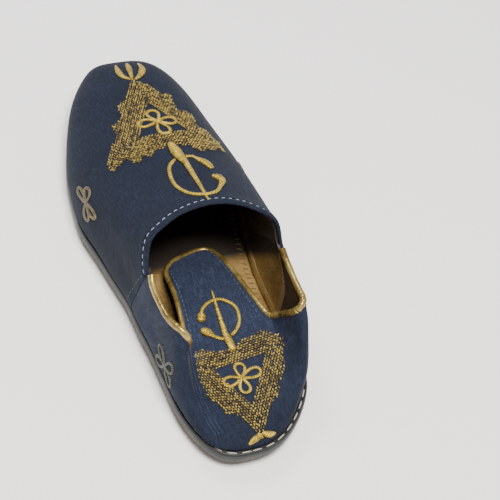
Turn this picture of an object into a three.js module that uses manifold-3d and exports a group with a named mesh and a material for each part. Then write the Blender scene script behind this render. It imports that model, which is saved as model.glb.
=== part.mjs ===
// A left-foot babouche slipper, standing empty on its sole: a round-toed denim upper whose heel panel
// is trodden down inside, with a long tab lying over the insole, on a stitched rubber cup sole.
// Millimetres, +Z up, +Y to the toe, +X to the inner side of the foot.
import * as THREE from "three";
import Module from "manifold-3d";

// Sole sizes
const LENGTH = 257; // sole, heel to toe
const BALL_WIDTH = 92; // sole at the ball of the foot
const HEEL_WIDTH = 69.5; // sole at the heel
const TOE_SPRING = 7; // how far the toe end is raised
const ARCH_RISE = 1.8; // hollow under the waist
const HEEL_SWING = -9; // heel end of the centre line to the outer side
const TOE_SWING = 1.5; // toe end of the centre line to the inner side
const OUTSOLE_THICKNESS = 2.8;
const HEEL_LIFT = 1; // extra outsole under the heel
const OUTSOLE_INSET = 2.2; // outsole edge behind the cup's side
const HEEL_UNDERCUT = 1.6; // the same, more at the back of the heel
const CUP_FLOOR = 2.8; // rubber under the upper
const CUP_RIM = 4.6; // rim above the floor
const CUP_TUCK = 1.6; // the cup's side is drawn in at its foot
const RIM_LEDGE = 2.9; // sole edge to the upper, at the rim
const TREAD_DEPTH = 1.2;
const TREAD_WIDTH = 3;
const TREAD_PITCH = 9;

// Upper sizes
const THROAT_HEIGHT = 56.5; // top of the vamp's mouth above the upper's foot
const WALL = 1.8; // denim, stiffener and lining together
const VAMP_STEP = 0.7; // the vamp's cloth lies over the quarters
const INSOLE_THICKNESS = 3.2;
const HEEL_PAD = 0.8; // second layer on the insole's heel half
const PIPING_RADIUS = 1.7;
const TAB_REACH = 64; // tab, from the heel panel to its end
const TAB_END_WIDTH = 27;
const TAB_SKEW = -2.6; // its end lies to the outer side
const TAB_LIFT = 5.5; // bow of the tab over the insole
const TAB_ROUND = 7; // its corners
const CLEARANCE = 0.3; // between pieces that touch

// Mesh steps
const STEPS_HEEL = 6; // round one side: heel panel, quarter and vamp
const STEPS_QUARTER = 11;
const STEPS_VAMP = 19;
const STEPS_UP = 11; // from the sole to the collar
const STEPS_TAB = 10; // along the tab
const PIPING_SIDES = 10;

// Half width of the sole on each side, as shares of the local half width over a blunt oval.
const SOLE_OUTLINE = [
  { along: 0.0, outer: 1.308, inner: 1.318 },
  { along: 0.1, outer: 1.297, inner: 1.375 },
  { along: 0.2, outer: 1.221, inner: 1.205 },
  { along: 0.3, outer: 1.163, inner: 1.028 },
  { along: 0.4, outer: 1.043, inner: 0.902 },
  { along: 0.5, outer: 1.023, inner: 0.872 },
  { along: 0.6, outer: 1.075, inner: 0.956 },
  { along: 0.7, outer: 1.081, inner: 0.993 },
  { along: 0.8, outer: 1.038, inner: 0.997 },
  { along: 0.9, outer: 0.983, inner: 1.040 },
  { along: 1.0, outer: 0.844, inner: 1.103 },
];
const OVAL_BLUNTNESS = 0.75;

// The collar's edge and the way the wall meets it, from the middle of the heel (turn 0) round one
// side to the middle of the toe (turn 1). across is a share of the ball's half width, with shift to the
// inner side, along of the length, with lean added on the inner side and taken off on the outer, up of
// the throat height. slope is the wall's rise into the edge in degrees; pull, rise and bulge shape the
// wall, as shares of its own reach, the throat height and the ball's half width.
const COLLAR = [
  { turn: 0, across: 0.000, shift: -0.012, along: 0.1952, lean: 0, up: 0.222, slope: 0, pull: 0.4, rise: 0.1, bulge: 0 },
  { turn: 0.07, across: 0.255, shift: -0.012, along: 0.2002, lean: 0.0062, up: 0.232, slope: 2, pull: 0.4, rise: 0.11, bulge: 0 },
  { turn: 0.13, across: 0.480, shift: -0.012, along: 0.2332, lean: 0.0137, up: 0.272, slope: 6, pull: 0.38, rise: 0.16, bulge: 0.01 },
  { turn: 0.18, across: 0.548, shift: -0.012, along: 0.2112, lean: 0.0137, up: 0.432, slope: 24, pull: 0.35, rise: 0.26, bulge: 0.02 },
  { turn: 0.215, across: 0.61, shift: -0.012, along: 0.1892, lean: 0.0075, up: 0.622, slope: 50, pull: 0.32, rise: 0.3, bulge: 0.031 },
  { turn: 0.25, across: 0.712, shift: -0.012, along: 0.2012, lean: 0, up: 0.710, slope: 76, pull: 0.3, rise: 0.26, bulge: 0.06 },
  { turn: 0.33, across: 0.735, shift: -0.012, along: 0.2623, lean: 0, up: 0.679, slope: 82, pull: 0.3, rise: 0.2, bulge: 0.06 },
  { turn: 0.41, across: 0.757, shift: -0.012, along: 0.3423, lean: 0, up: 0.683, slope: 72, pull: 0.34, rise: 0.2, bulge: 0.06 },
  { turn: 0.5, across: 0.694, shift: 0.012, along: 0.3814, lean: -0.0063, up: 0.850, slope: 44, pull: 0.4, rise: 0.348, bulge: 0.02 },
  { turn: 0.6, across: 0.515, shift: 0.03, along: 0.4004, lean: -0.0056, up: 0.930, slope: 30, pull: 0.42, rise: 0.364, bulge: 0.01 },
  { turn: 0.7, across: 0.322, shift: 0.03, along: 0.4146, lean: -0.0028, up: 0.972, slope: 26.9, pull: 0.389, rise: 0.364, bulge: 0 },
  { turn: 0.85, across: 0.143, shift: 0.03, along: 0.4201, lean: -0.0007, up: 0.995, slope: 22.5, pull: 0.389, rise: 0.363, bulge: 0 },
  { turn: 1, across: 0.000, shift: 0.02, along: 0.4221, lean: 0, up: 1.000, slope: 20.2, pull: 0.389, rise: 0.363, bulge: 0 },
];
const TAB_TURN = COLLAR[2].turn; // the tab grows out of the heel panel up to here
const VAMP_TURN = COLLAR[7].turn; // the vamp starts here

const DENIM = { color: 0x2c3548, roughness: 0.92, metalness: 0 };
const GOLD_LEATHER = { color: 0xb08c46, roughness: 0.4, metalness: 0.5 };
const TAN_LEATHER = { color: 0x9a7a48, roughness: 0.75, metalness: 0 };
const GREY_RUBBER = { color: 0x4b4d4e, roughness: 0.5, metalness: 0 };
const TAN_RUBBER = { color: 0x6b5a3c, roughness: 0.7, metalness: 0 };

const { sin, cos, PI, hypot } = Math;
const vec = (x, y, z) => new THREE.Vector3(x, y, z);
const mix = (a, b, t) => a + (b - a) * t;
const clamp = (t) => Math.min(1, Math.max(0, t));
const ease = (from, to, x) => {
  const t = clamp((x - from) / (to - from));
  return t * t * (3 - 2 * t);
};

// A curve through a table's rows that never swings past them: cubic pieces with limited slopes.
function through(rows, key, column, at) {
  const last = rows.length - 1;
  const slopeOf = (i) => (rows[i + 1][column] - rows[i][column]) / (rows[i + 1][key] - rows[i][key]);
  const tangent = (i) => {
    if (i === 0) return slopeOf(0);
    if (i === last) return slopeOf(last - 1);
    const before = slopeOf(i - 1);
    const after = slopeOf(i);
    if (before * after <= 0) return 0;
    return (2 * before * after) / (before + after);
  };
  let i = 0;
  while (i < last - 1 && at > rows[i + 1][key]) i++;
  const span = rows[i + 1][key] - rows[i][key];
  const t = clamp((at - rows[i][key]) / span);
  const a = rows[i][column];
  const b = rows[i + 1][column];
  const hermite = (t - 1) ** 2 * t * tangent(i) + t * t * (t - 1) * tangent(i + 1);
  return a + (b - a) * t * t * (3 - 2 * t) + hermite * span;
}

// Heights along the shoe
const spring = (y) => TOE_SPRING * clamp((y / LENGTH - 0.7) / 0.3) ** 2;
const arch = (y) => ARCH_RISE * ease(0.28, 0.38, y / LENGTH) * (1 - ease(0.5, 0.6, y / LENGTH));
const heelLift = (y) => HEEL_LIFT * (1 - ease(0.25, 0.45, y / LENGTH));
const groundAt = (y) => spring(y) + arch(y);
const outsoleTop = (y) => spring(y) + OUTSOLE_THICKNESS + heelLift(y);
const cupBottom = (y) => outsoleTop(y) + CLEARANCE;
const cupFloor = (y) => cupBottom(y) + CUP_FLOOR;
const footOfUpper = (y) => cupFloor(y) + CLEARANCE;
const centreLine = (y) =>
  TOE_SWING * clamp((y / LENGTH - 0.55) / 0.45) ** 2 + HEEL_SWING * clamp(1 - y / LENGTH / 0.3) ** 2;

// The sole's outline at turn 0 to 1 on a side (+1 inner, -1 outer), drawn in by an inset.
function outline(turn, side, inset) {
  const edge = (t) => {
    if (t < 0 || t > 1) return outline(t < 0 ? -t : 2 - t, -side, 0);
    const along = (1 - cos(PI * t)) / 2;
    const unit = mix(HEEL_WIDTH, BALL_WIDTH, ease(0.25, 0.6, along)) / 2;
    const full = through(SOLE_OUTLINE, "along", side > 0 ? "inner" : "outer", along);
    const width = unit * full * sin(PI * t) ** OVAL_BLUNTNESS;
    return vec(centreLine(LENGTH * along) + side * width, LENGTH * along, 0);
  };
  const here = edge(turn);
  if (!inset) return here;
  const step = 0.004;
  const run = edge(turn + step).sub(edge(turn - step)).normalize();
  return here.add(vec(-side * run.y, side * run.x, 0).multiplyScalar(inset));
}

// Turns of one side: evenly over the heel panel, the quarter and the vamp.
const spread = (from, to, steps) => Array.from({ length: steps }, (_, i) => mix(from, to, i / steps));
const TURNS = [
  ...spread(0, TAB_TURN, STEPS_HEEL),
  ...spread(TAB_TURN, VAMP_TURN, STEPS_QUARTER),
  ...spread(VAMP_TURN, 1, STEPS_VAMP),
  1,
];

// Goes once round, from the heel along the inner side to the toe and back along the outer side.
function aroundShoe(place) {
  const inner = TURNS.map((turn) => place(turn, 1));
  const outer = TURNS.slice(1, -1).reverse().map((turn) => place(turn, -1));
  return [...inner, ...outer];
}

// One closed body through rings of equal count, capped at both ends by rungs from side to side.
function ringBody(rings) {
  const count = rings[0].length;
  const points = rings.flat();
  const faces = [];
  rings.slice(1).forEach((_, r) => {
    for (let i = 0; i < count; i++) {
      const a = r * count + i;
      const b = r * count + ((i + 1) % count);
      faces.push([a, b, b + count], [a, b + count, a + count]);
    }
  });
  const rung = (base, turned) => {
    for (let i = 0; i < count / 2; i++) {
      const quad = [i, i + 1, count - i - 1, (count - i) % count].map((k) => base + (k % count));
      const corners = turned ? [...quad].reverse() : quad;
      [[0, 1, 2], [0, 2, 3]].forEach((pick) => {
        const face = pick.map((k) => corners[k]);
        if (new Set(face).size === 3) faces.push(face);
      });
    }
  };
  rung(0, true);
  rung((rings.length - 1) * count, false);
  return geometryOf(points, faces);
}

function geometryOf(points, faces) {
  const geometry = new THREE.BufferGeometry();
  geometry.setAttribute("position", new THREE.Float32BufferAttribute(points.flatMap((p) => p.toArray()), 3));
  geometry.setIndex(faces.flat());
  return geometry;
}

const soleRing = (inset, height) =>
  aroundShoe((turn, side) => {
    const p = outline(turn, side, typeof inset === "function" ? inset(turn) : inset);
    return p.setZ(height(p.y));
  });

// manifold-3d joins and cuts
const wasm = await Module();
wasm.setup();

function solidOf(geometry) {
  const plain = joined(geometry);
  return new wasm.Manifold(
    new wasm.Mesh({
      numProp: 3,
      vertProperties: Float32Array.from(plain.getAttribute("position").array),
      triVerts: Uint32Array.from(plain.index.array),
    }),
  );
}

// Joins corners that share a place, as a solid needs.
function joined(geometry) {
  const position = geometry.toNonIndexed().getAttribute("position");
  const seen = new Map();
  const points = [];
  const order = [];
  for (let i = 0; i < position.count; i++) {
    const p = vec().fromBufferAttribute(position, i);
    const key = p.toArray().map((c) => c.toFixed(4)).join();
    if (!seen.has(key)) {
      seen.set(key, points.length);
      points.push(p);
    }
    order.push(seen.get(key));
  }
  return geometryOf(points, [order]);
}

function geometryFrom(solid) {
  const mesh = solid.getMesh();
  const geometry = new THREE.BufferGeometry();
  geometry.setAttribute("position", new THREE.BufferAttribute(Float32Array.from(mesh.vertProperties), 3));
  geometry.setIndex(Array.from(mesh.triVerts));
  return geometry;
}

// Tan outsole: flat under heel and ball, hollow at the waist, undercut behind the heel, with
// grooves across the tread.
function makeOutsole() {
  const inset = (turn) => OUTSOLE_INSET + HEEL_UNDERCUT * (1 - ease(0.05, 0.22, turn));
  const bevel = 1;
  const body = ringBody([
    soleRing((turn) => inset(turn) + bevel, groundAt),
    soleRing(inset, (y) => groundAt(y) + bevel),
    soleRing(inset, outsoleTop),
  ]);
  let solid = solidOf(body);
  const cross = 0.62; // tread grooves stop short of the edge
  const zones = [
    { from: 0.09, to: 0.24 },
    { from: 0.6, to: 0.76 },
  ];
  for (const { from, to } of zones) {
    const grooves = Math.floor(((to - from) * LENGTH) / TREAD_PITCH);
    for (let i = 0; i <= grooves; i++) {
      const y = from * LENGTH + i * TREAD_PITCH;
      const groove = new THREE.BoxGeometry(mix(HEEL_WIDTH, BALL_WIDTH, ease(0.3, 0.6, y / LENGTH)) * cross,
        TREAD_WIDTH, 2 * TREAD_DEPTH);
      groove.translate(0, y, spring(y));
      solid = solid.subtract(solidOf(groove));
    }
  }
  return geometryFrom(solid);
}

// Rubber cup: a rounded side, a rim round the upper and a floor under it.
function makeCupSole() {
  const height = CUP_FLOOR + CUP_RIM;
  const at = (share) => (y) => cupBottom(y) + height * share;
  const pocket = RIM_LEDGE - CLEARANCE;
  return ringBody([
    soleRing(CUP_TUCK, cupBottom),
    soleRing(CUP_TUCK * 0.35, at(0.2)),
    soleRing(0, at(0.45)),
    soleRing(0.1, at(0.8)),
    soleRing(0.4, at(0.94)),
    soleRing(1, at(1)),
    soleRing(pocket, at(1)),
    soleRing(pocket, cupFloor),
  ]);
}

// Leather sock on the cup's floor, with a second layer under the heel.
function makeInsole() {
  const inset = RIM_LEDGE + WALL + CLEARANCE;
  const top = (y) => footOfUpper(y) + INSOLE_THICKNESS + HEEL_PAD * (1 - ease(0.42, 0.435, y / LENGTH));
  const edge = 0.7;
  return ringBody([
    soleRing(inset, footOfUpper),
    soleRing(inset, (y) => top(y) - edge),
    soleRing(inset + edge, top),
  ]);
}

// A point of the upper's outer face: turn round the shoe, and a level from 0 at the foot through 1
// just above the rim to STEPS_UP at the collar.
function upperPoint(turn, side, level) {
  const row = (column) => through(COLLAR, "turn", column, turn);
  const foot = outline(turn, side, RIM_LEDGE);
  foot.setZ(footOfUpper(foot.y));
  if (level === 0) return foot;
  const start = foot.clone().add(vec(0, 0, CUP_RIM + CLEARANCE));
  const end = collarPoint(turn, side);
  const inward = vec(end.x - start.x, end.y - start.y, 0);
  const drawn = outline(turn, side, RIM_LEDGE + 8).sub(outline(turn, side, RIM_LEDGE));
  const heading = inward.clone().add(drawn).normalize();
  const slope = (row("slope") * PI) / 180;
  const reach = row("pull") * start.distanceTo(end);
  const leave = start.clone()
    .add(vec(0, 0, row("rise") * THROAT_HEIGHT))
    .addScaledVector(drawn.normalize(), (-row("bulge") * BALL_WIDTH) / 2);
  const arrive = end.clone().addScaledVector(heading, -cos(slope) * reach).add(vec(0, 0, -sin(slope) * reach));
  const curve = new THREE.CubicBezierCurve3(start, leave, arrive, end);
  return curve.getPoint((level - 1) / (STEPS_UP - 1));
}

function collarPoint(turn, side) {
  const row = (column) => through(COLLAR, "turn", column, turn);
  const y = (row("along") + side * row("lean")) * LENGTH;
  const z = footOfUpper(LENGTH * 0.3) + row("up") * THROAT_HEIGHT;
  return vec(((side * row("across") + row("shift")) * BALL_WIDTH) / 2, y, z);
}

// A point of the tab's outer face: turn and side name where it leaves the heel panel, along runs
// from there to the tab's end.
function tabPoint(turn, side, along) {
  const base = collarPoint(turn, side);
  const edge = collarPoint(TAB_TURN, side);
  const middle = collarPoint(0, side);
  const over = (base.x - middle.x) / (edge.x - middle.x); // 0 on the middle line, 1 at the edge
  const endY = middle.y + TAB_REACH - TAB_ROUND * (1 - Math.sqrt(1 - 0.98 * over ** 6));
  const x = middle.x + side * over * mix(Math.abs(edge.x - middle.x), TAB_END_WIDTH / 2, along);
  const skew = TAB_SKEW * along;
  const z = mix(base.z, middle.z, ease(0, 0.5, along)) + TAB_LIFT * (sin(PI * along ** 1.2) - 0.35 * along ** 2);
  return vec(x + skew, mix(base.y, endY, along), z);
}

// The denim shell as one closed body: the outer face, the inner face a wall inside it, and the
// edges between them. The vamp's face stands a step proud of the quarters.
function makeUpper() {
  const columns = aroundShoe((turn, side) => ({ turn, side }));
  const points = [];
  const faces = [];
  const grid = columns.map(({ turn, side }) =>
    Array.from({ length: STEPS_UP + 1 }, (_, k) => {
      points.push(upperPoint(turn, side, k));
      return points.length - 1;
    }),
  );
  const count = columns.length;
  for (let i = 0; i < count; i++)
    for (let k = 0; k < STEPS_UP; k++) {
      const next = grid[(i + 1) % count];
      faces.push([grid[i][k], next[k], next[k + 1]], [grid[i][k], next[k + 1], grid[i][k + 1]]);
    }
  const onTab = TURNS.filter((turn) => turn <= TAB_TURN + 1e-9).length - 1;
  const tabColumns = [];
  for (let i = -onTab; i <= onTab; i++) tabColumns.push((i + count) % count);
  const tab = tabColumns.map((c) => {
    const strip = [grid[c][STEPS_UP]];
    for (let k = 1; k <= STEPS_TAB; k++) {
      points.push(tabPoint(Math.min(columns[c].turn, TAB_TURN), columns[c].side, k / STEPS_TAB));
      strip.push(points.length - 1);
    }
    return strip;
  });
  for (let i = 0; i < tab.length - 1; i++)
    for (let k = 0; k < STEPS_TAB; k++) {
      faces.push([tab[i][k], tab[i + 1][k], tab[i + 1][k + 1]], [tab[i][k], tab[i + 1][k + 1], tab[i][k + 1]]);
    }
  const normals = normalsOf(points, faces);
  const inner = points.map((p, i) => p.clone().addScaledVector(normals[i], -WALL));
  grid.forEach((column, c) => {
    const place = outline(columns[c].turn, columns[c].side, RIM_LEDGE + WALL);
    [0, 1].forEach((k) => inner[column[k]].set(place.x, place.y, points[column[k]].z));
    if (columns[c].turn <= VAMP_TURN + 1e-9) return;
    column.slice(2).forEach((k) => points[k].addScaledVector(normals[k], VAMP_STEP));
  });
  const shift = points.length;
  const closed = [...faces, ...faces.map(([a, b, c]) => [c + shift, b + shift, a + shift])];
  borderOf(faces).forEach(([a, b]) => closed.push([b, a, a + shift], [b, a + shift, b + shift]));
  const rim = borderOf(faces);
  return { geometry: geometryOf([...points, ...inner], closed), points, inner, normals, rim, grid, tab };
}

function normalsOf(points, faces) {
  const normals = points.map(() => vec(0, 0, 0));
  faces.forEach(([a, b, c]) => {
    const face = points[b].clone().sub(points[a]).cross(points[c].clone().sub(points[a]));
    [a, b, c].forEach((k) => normals[k].add(face));
  });
  return normals.map((n) => n.normalize());
}

// Edges that belong to one face only, each in its face's direction.
function borderOf(faces) {
  const edges = new Map();
  faces.forEach((face) =>
    face.forEach((a, i) => {
      const b = face[(i + 1) % 3];
      if (edges.has(`${b},${a}`)) edges.delete(`${b},${a}`);
      else edges.set(`${a},${b}`, [a, b]);
    }),
  );
  return [...edges.values()];
}

// Gold binding on the collar's edge, from the vamp's inner corner back round the tab to its outer
// corner.
function makePiping(upper) {
  const { grid, tab, points, inner, normals } = upper;
  const count = grid.length;
  const first = TURNS.findIndex((turn) => turn >= VAMP_TURN - 1e-9);
  const onTab = (tab.length - 1) / 2;
  const path = [];
  for (let i = first; i > onTab; i--) path.push(grid[i][STEPS_UP]);
  tab[tab.length - 1].forEach((k) => path.push(k));
  for (let i = tab.length - 2; i >= 1; i--) path.push(tab[i][STEPS_TAB]);
  [...tab[0]].reverse().forEach((k) => path.push(k));
  for (let i = onTab + 1; i <= first; i++) path.push(grid[(count - i) % count][STEPS_UP]);
  const edge = path.map((k) => points[k].clone().lerp(inner[k], 0.5));
  const away = edge.map((p, i) => {
    const run = edge[Math.min(i + 1, edge.length - 1)].clone().sub(edge[Math.max(i - 1, 0)]).normalize();
    return run.clone().cross(normals[path[i]]).normalize();
  });
  const at = (list, i) => list[Math.min(Math.max(i, 0), list.length - 1)];
  // At an outward bend the binding stands off further, so that both runs stay clear of the edge.
  const centre = edge.map((p, i) => {
    const both = at(away, i - 1).clone().add(at(away, i)).add(at(away, i + 1)).normalize();
    const turn = Math.max(0.7, both.dot(at(away, i - 1)), 0);
    return p.clone().addScaledVector(both, (PIPING_RADIUS + CLEARANCE) / turn);
  });
  const rings = centre.map((p, i) => {
    const run = at(centre, i + 1).clone().sub(at(centre, i - 1)).normalize();
    const a = away[i].clone().addScaledVector(run, -away[i].dot(run)).normalize();
    const b = run.clone().cross(a);
    return Array.from({ length: PIPING_SIDES }, (_, k) => {
      const turn = (2 * PI * k) / PIPING_SIDES;
      return p.clone().addScaledVector(a, cos(turn) * PIPING_RADIUS).addScaledVector(b, sin(turn) * PIPING_RADIUS);
    });
  });
  return ringBody(rings);
}

const group = new THREE.Group();
function add(name, geometry, finish) {
  const mesh = new THREE.Mesh(geometry, new THREE.MeshStandardMaterial(finish));
  mesh.name = name;
  group.add(mesh);
}

const upper = makeUpper();
add("outsole", makeOutsole(), TAN_RUBBER);
add("cup_sole", makeCupSole(), GREY_RUBBER);
add("insole", makeInsole(), TAN_LEATHER);
add("upper", upper.geometry, DENIM);
add("piping", makePiping(upper), GOLD_LEATHER);

// The origin is under the middle of the whole shoe, on the floor.
const bounds = new THREE.Box3().setFromObject(group);
const middle = bounds.getCenter(vec());
group.position.set(-middle.x, -middle.y, -bounds.min.z);

export default group;
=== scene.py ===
"""A left-foot babouche slipper: denim, gold embroidery, a gold-bound collar and a stitched rubber cup sole.

Shapes are worked out in millimetres on the shoe's own last: x to the inner side of the foot, y from the heel end to
the toe, z up from the floor. They are moved into the frame, in metres, when a mesh is made.
"""
import logging
import math
from dataclasses import dataclass
from enum import Enum

import bpy
import numpy as np
from mathutils import Matrix, Vector


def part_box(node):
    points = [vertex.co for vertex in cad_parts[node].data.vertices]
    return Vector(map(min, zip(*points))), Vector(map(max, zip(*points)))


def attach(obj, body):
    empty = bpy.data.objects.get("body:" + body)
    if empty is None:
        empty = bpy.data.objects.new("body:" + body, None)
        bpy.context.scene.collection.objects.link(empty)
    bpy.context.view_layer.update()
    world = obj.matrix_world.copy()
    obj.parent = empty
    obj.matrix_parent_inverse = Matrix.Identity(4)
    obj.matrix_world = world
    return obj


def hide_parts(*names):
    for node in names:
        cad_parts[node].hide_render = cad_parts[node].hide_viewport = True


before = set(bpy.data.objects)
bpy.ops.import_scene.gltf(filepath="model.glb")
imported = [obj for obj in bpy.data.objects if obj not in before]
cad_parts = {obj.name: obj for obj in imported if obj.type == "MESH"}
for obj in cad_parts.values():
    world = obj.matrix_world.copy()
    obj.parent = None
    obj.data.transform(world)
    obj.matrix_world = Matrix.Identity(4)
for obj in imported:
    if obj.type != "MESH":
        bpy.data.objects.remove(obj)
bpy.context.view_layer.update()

log = logging.getLogger("slipper")
Array = np.ndarray
Body = tuple[Array, list, Array | None]  # vertices, faces, and a UV in millimetres for each vertex where it has one
Line = tuple[tuple[float, float], ...]
Material = bpy.types.Material

MM = 0.001
UP = np.array([0.0, 0.0, 1.0])
IMAGE_SIDE = 500
UV_UNIT = 100  # millimetres
CLOTH_SHARP = 50.0  # degrees past which an edge is drawn sharp
RUBBER_SHARP = 60.0
THREAD_SHARP = 80.0  # so that a thread's few sides look round


# ---------------------------------------------------------------- numbers and curves


def ease(start: float, end: float, x: Array) -> Array:
    """Rises smoothly from 0 at start to 1 at end: 3t^2 - 2t^3 of the clamped share t."""
    t = np.clip((x - start) / (end - start), 0, 1)
    return t * t * (3 - 2 * t)


def mix(a: Array, b: Array, t: Array) -> Array:
    """Goes in a straight line from a to b."""
    return a + (b - a) * t


def bell(x: Array, place: float, width: float) -> Array:
    """A bell curve, 1 high: exp(-((x - place) / width)^2)."""
    return np.exp(-(((x - place) / width) ** 2))


def unit(vectors: Array) -> Array:
    """Divides each vector by its length."""
    return vectors / np.maximum(np.linalg.norm(vectors, axis=-1, keepdims=True), 1e-12)


def through(keys: Array, values: Array, at: Array) -> Array:
    """Cubic pieces through a table, with harmonic-mean slopes, so the curve never swings past a row.

    Args:
        keys: the rows' places, rising.
        values: the rows' values.
        at: where the curve is wanted.

    Returns:
        The curve's values.
    """
    rise = np.diff(values) / np.diff(keys)
    before, after = rise[:-1], rise[1:]
    same = before * after > 0
    inner = np.where(same, 2 * before * after / np.where(same, before + after, 1), 0)
    slope = np.concatenate([rise[:1], inner, rise[-1:]])
    i = np.clip(np.searchsorted(keys, at, side="left") - 1, 0, len(keys) - 2)
    span = keys[i + 1] - keys[i]
    t = np.clip((at - keys[i]) / span, 0, 1)
    bend = (t - 1) ** 2 * t * slope[i] + t * t * (t - 1) * slope[i + 1]
    return values[i] + (values[i + 1] - values[i]) * t * t * (3 - 2 * t) + bend * span


def arc_length(path: Array) -> Array:
    """Running length along each path, from 0; the last two axes are points and coordinates."""
    steps = np.linalg.norm(np.diff(path, axis=-2), axis=-1)
    return np.concatenate([np.zeros_like(steps[..., :1]), np.cumsum(steps, axis=-1)], axis=-1)


def at_length(path: Array, along: Array, lengths: Array) -> Array:
    """Values carried by a path, read at given lengths along it.

    Args:
        path: values at each point, one row per point.
        along: the running length at each point.
        lengths: where the values are wanted, in any shape.

    Returns:
        The values, with one more axis than lengths.
    """
    return np.stack([np.interp(lengths, along, column) for column in path.T], axis=-1)


def spline(points: Array, step: float) -> Array:
    """A smooth curve through points: cubic Hermite pieces, with slopes by central differences of the chord length.

    Args:
        points: the points, one row each.
        step: distance between the points returned, about.

    Returns:
        Evenly spaced points of the curve.
    """
    along = arc_length(points)
    slope = np.gradient(points, along, axis=0)
    fine = np.linspace(0, along[-1], max(8, int(along[-1] / step) * 4))
    i = np.clip(np.searchsorted(along, fine, side="right") - 1, 0, len(along) - 2)
    span = (along[i + 1] - along[i])[:, None]
    t = (fine - along[i])[:, None] / span
    curve = (
        (2 * t**3 - 3 * t**2 + 1) * points[i]
        + (t**3 - 2 * t**2 + t) * span * slope[i]
        + (3 * t**2 - 2 * t**3) * points[i + 1]
        + (t**3 - t**2) * span * slope[i + 1]
    )
    length = arc_length(curve)
    return at_length(curve, length, np.linspace(0, length[-1], max(4, int(length[-1] / step) + 1)))


def smoothed(values: Array, reach: int) -> Array:
    """Averages each row with its neighbours under a bell curve, with the end rows held.

    Args:
        values: the rows.
        reach: the bell's spread, in rows.

    Returns:
        The averaged rows.
    """
    offsets = np.arange(-2 * reach, 2 * reach + 1)
    weights = np.exp(-0.5 * (offsets / reach) ** 2)
    weights /= weights.sum()
    rows = np.clip(np.arange(len(values))[:, None] + offsets, 0, len(values) - 1)
    return np.einsum("nkc,k->nc", values[rows], weights)


def inside(points: Array, corners: Array) -> Array:
    """Tells which points lie in a polygon: a ray from an inside point crosses its sides an odd number of times.

    Args:
        points: points (x, y), one row each.
        corners: the polygon's corners.

    Returns:
        True for each point inside.
    """
    x, y = points[:, None, 0], points[:, None, 1]
    a, b = corners, np.roll(corners, -1, axis=0)
    spans = (a[:, 1] > y) != (b[:, 1] > y)
    rise = np.where(b[:, 1] == a[:, 1], 1e-9, b[:, 1] - a[:, 1])
    crossing = a[:, 0] + (y - a[:, 1]) * (b[:, 0] - a[:, 0]) / rise
    return (spans & (x < crossing)).sum(axis=1) % 2 == 1


# ---------------------------------------------------------------- the last: the shoe's form


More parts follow.
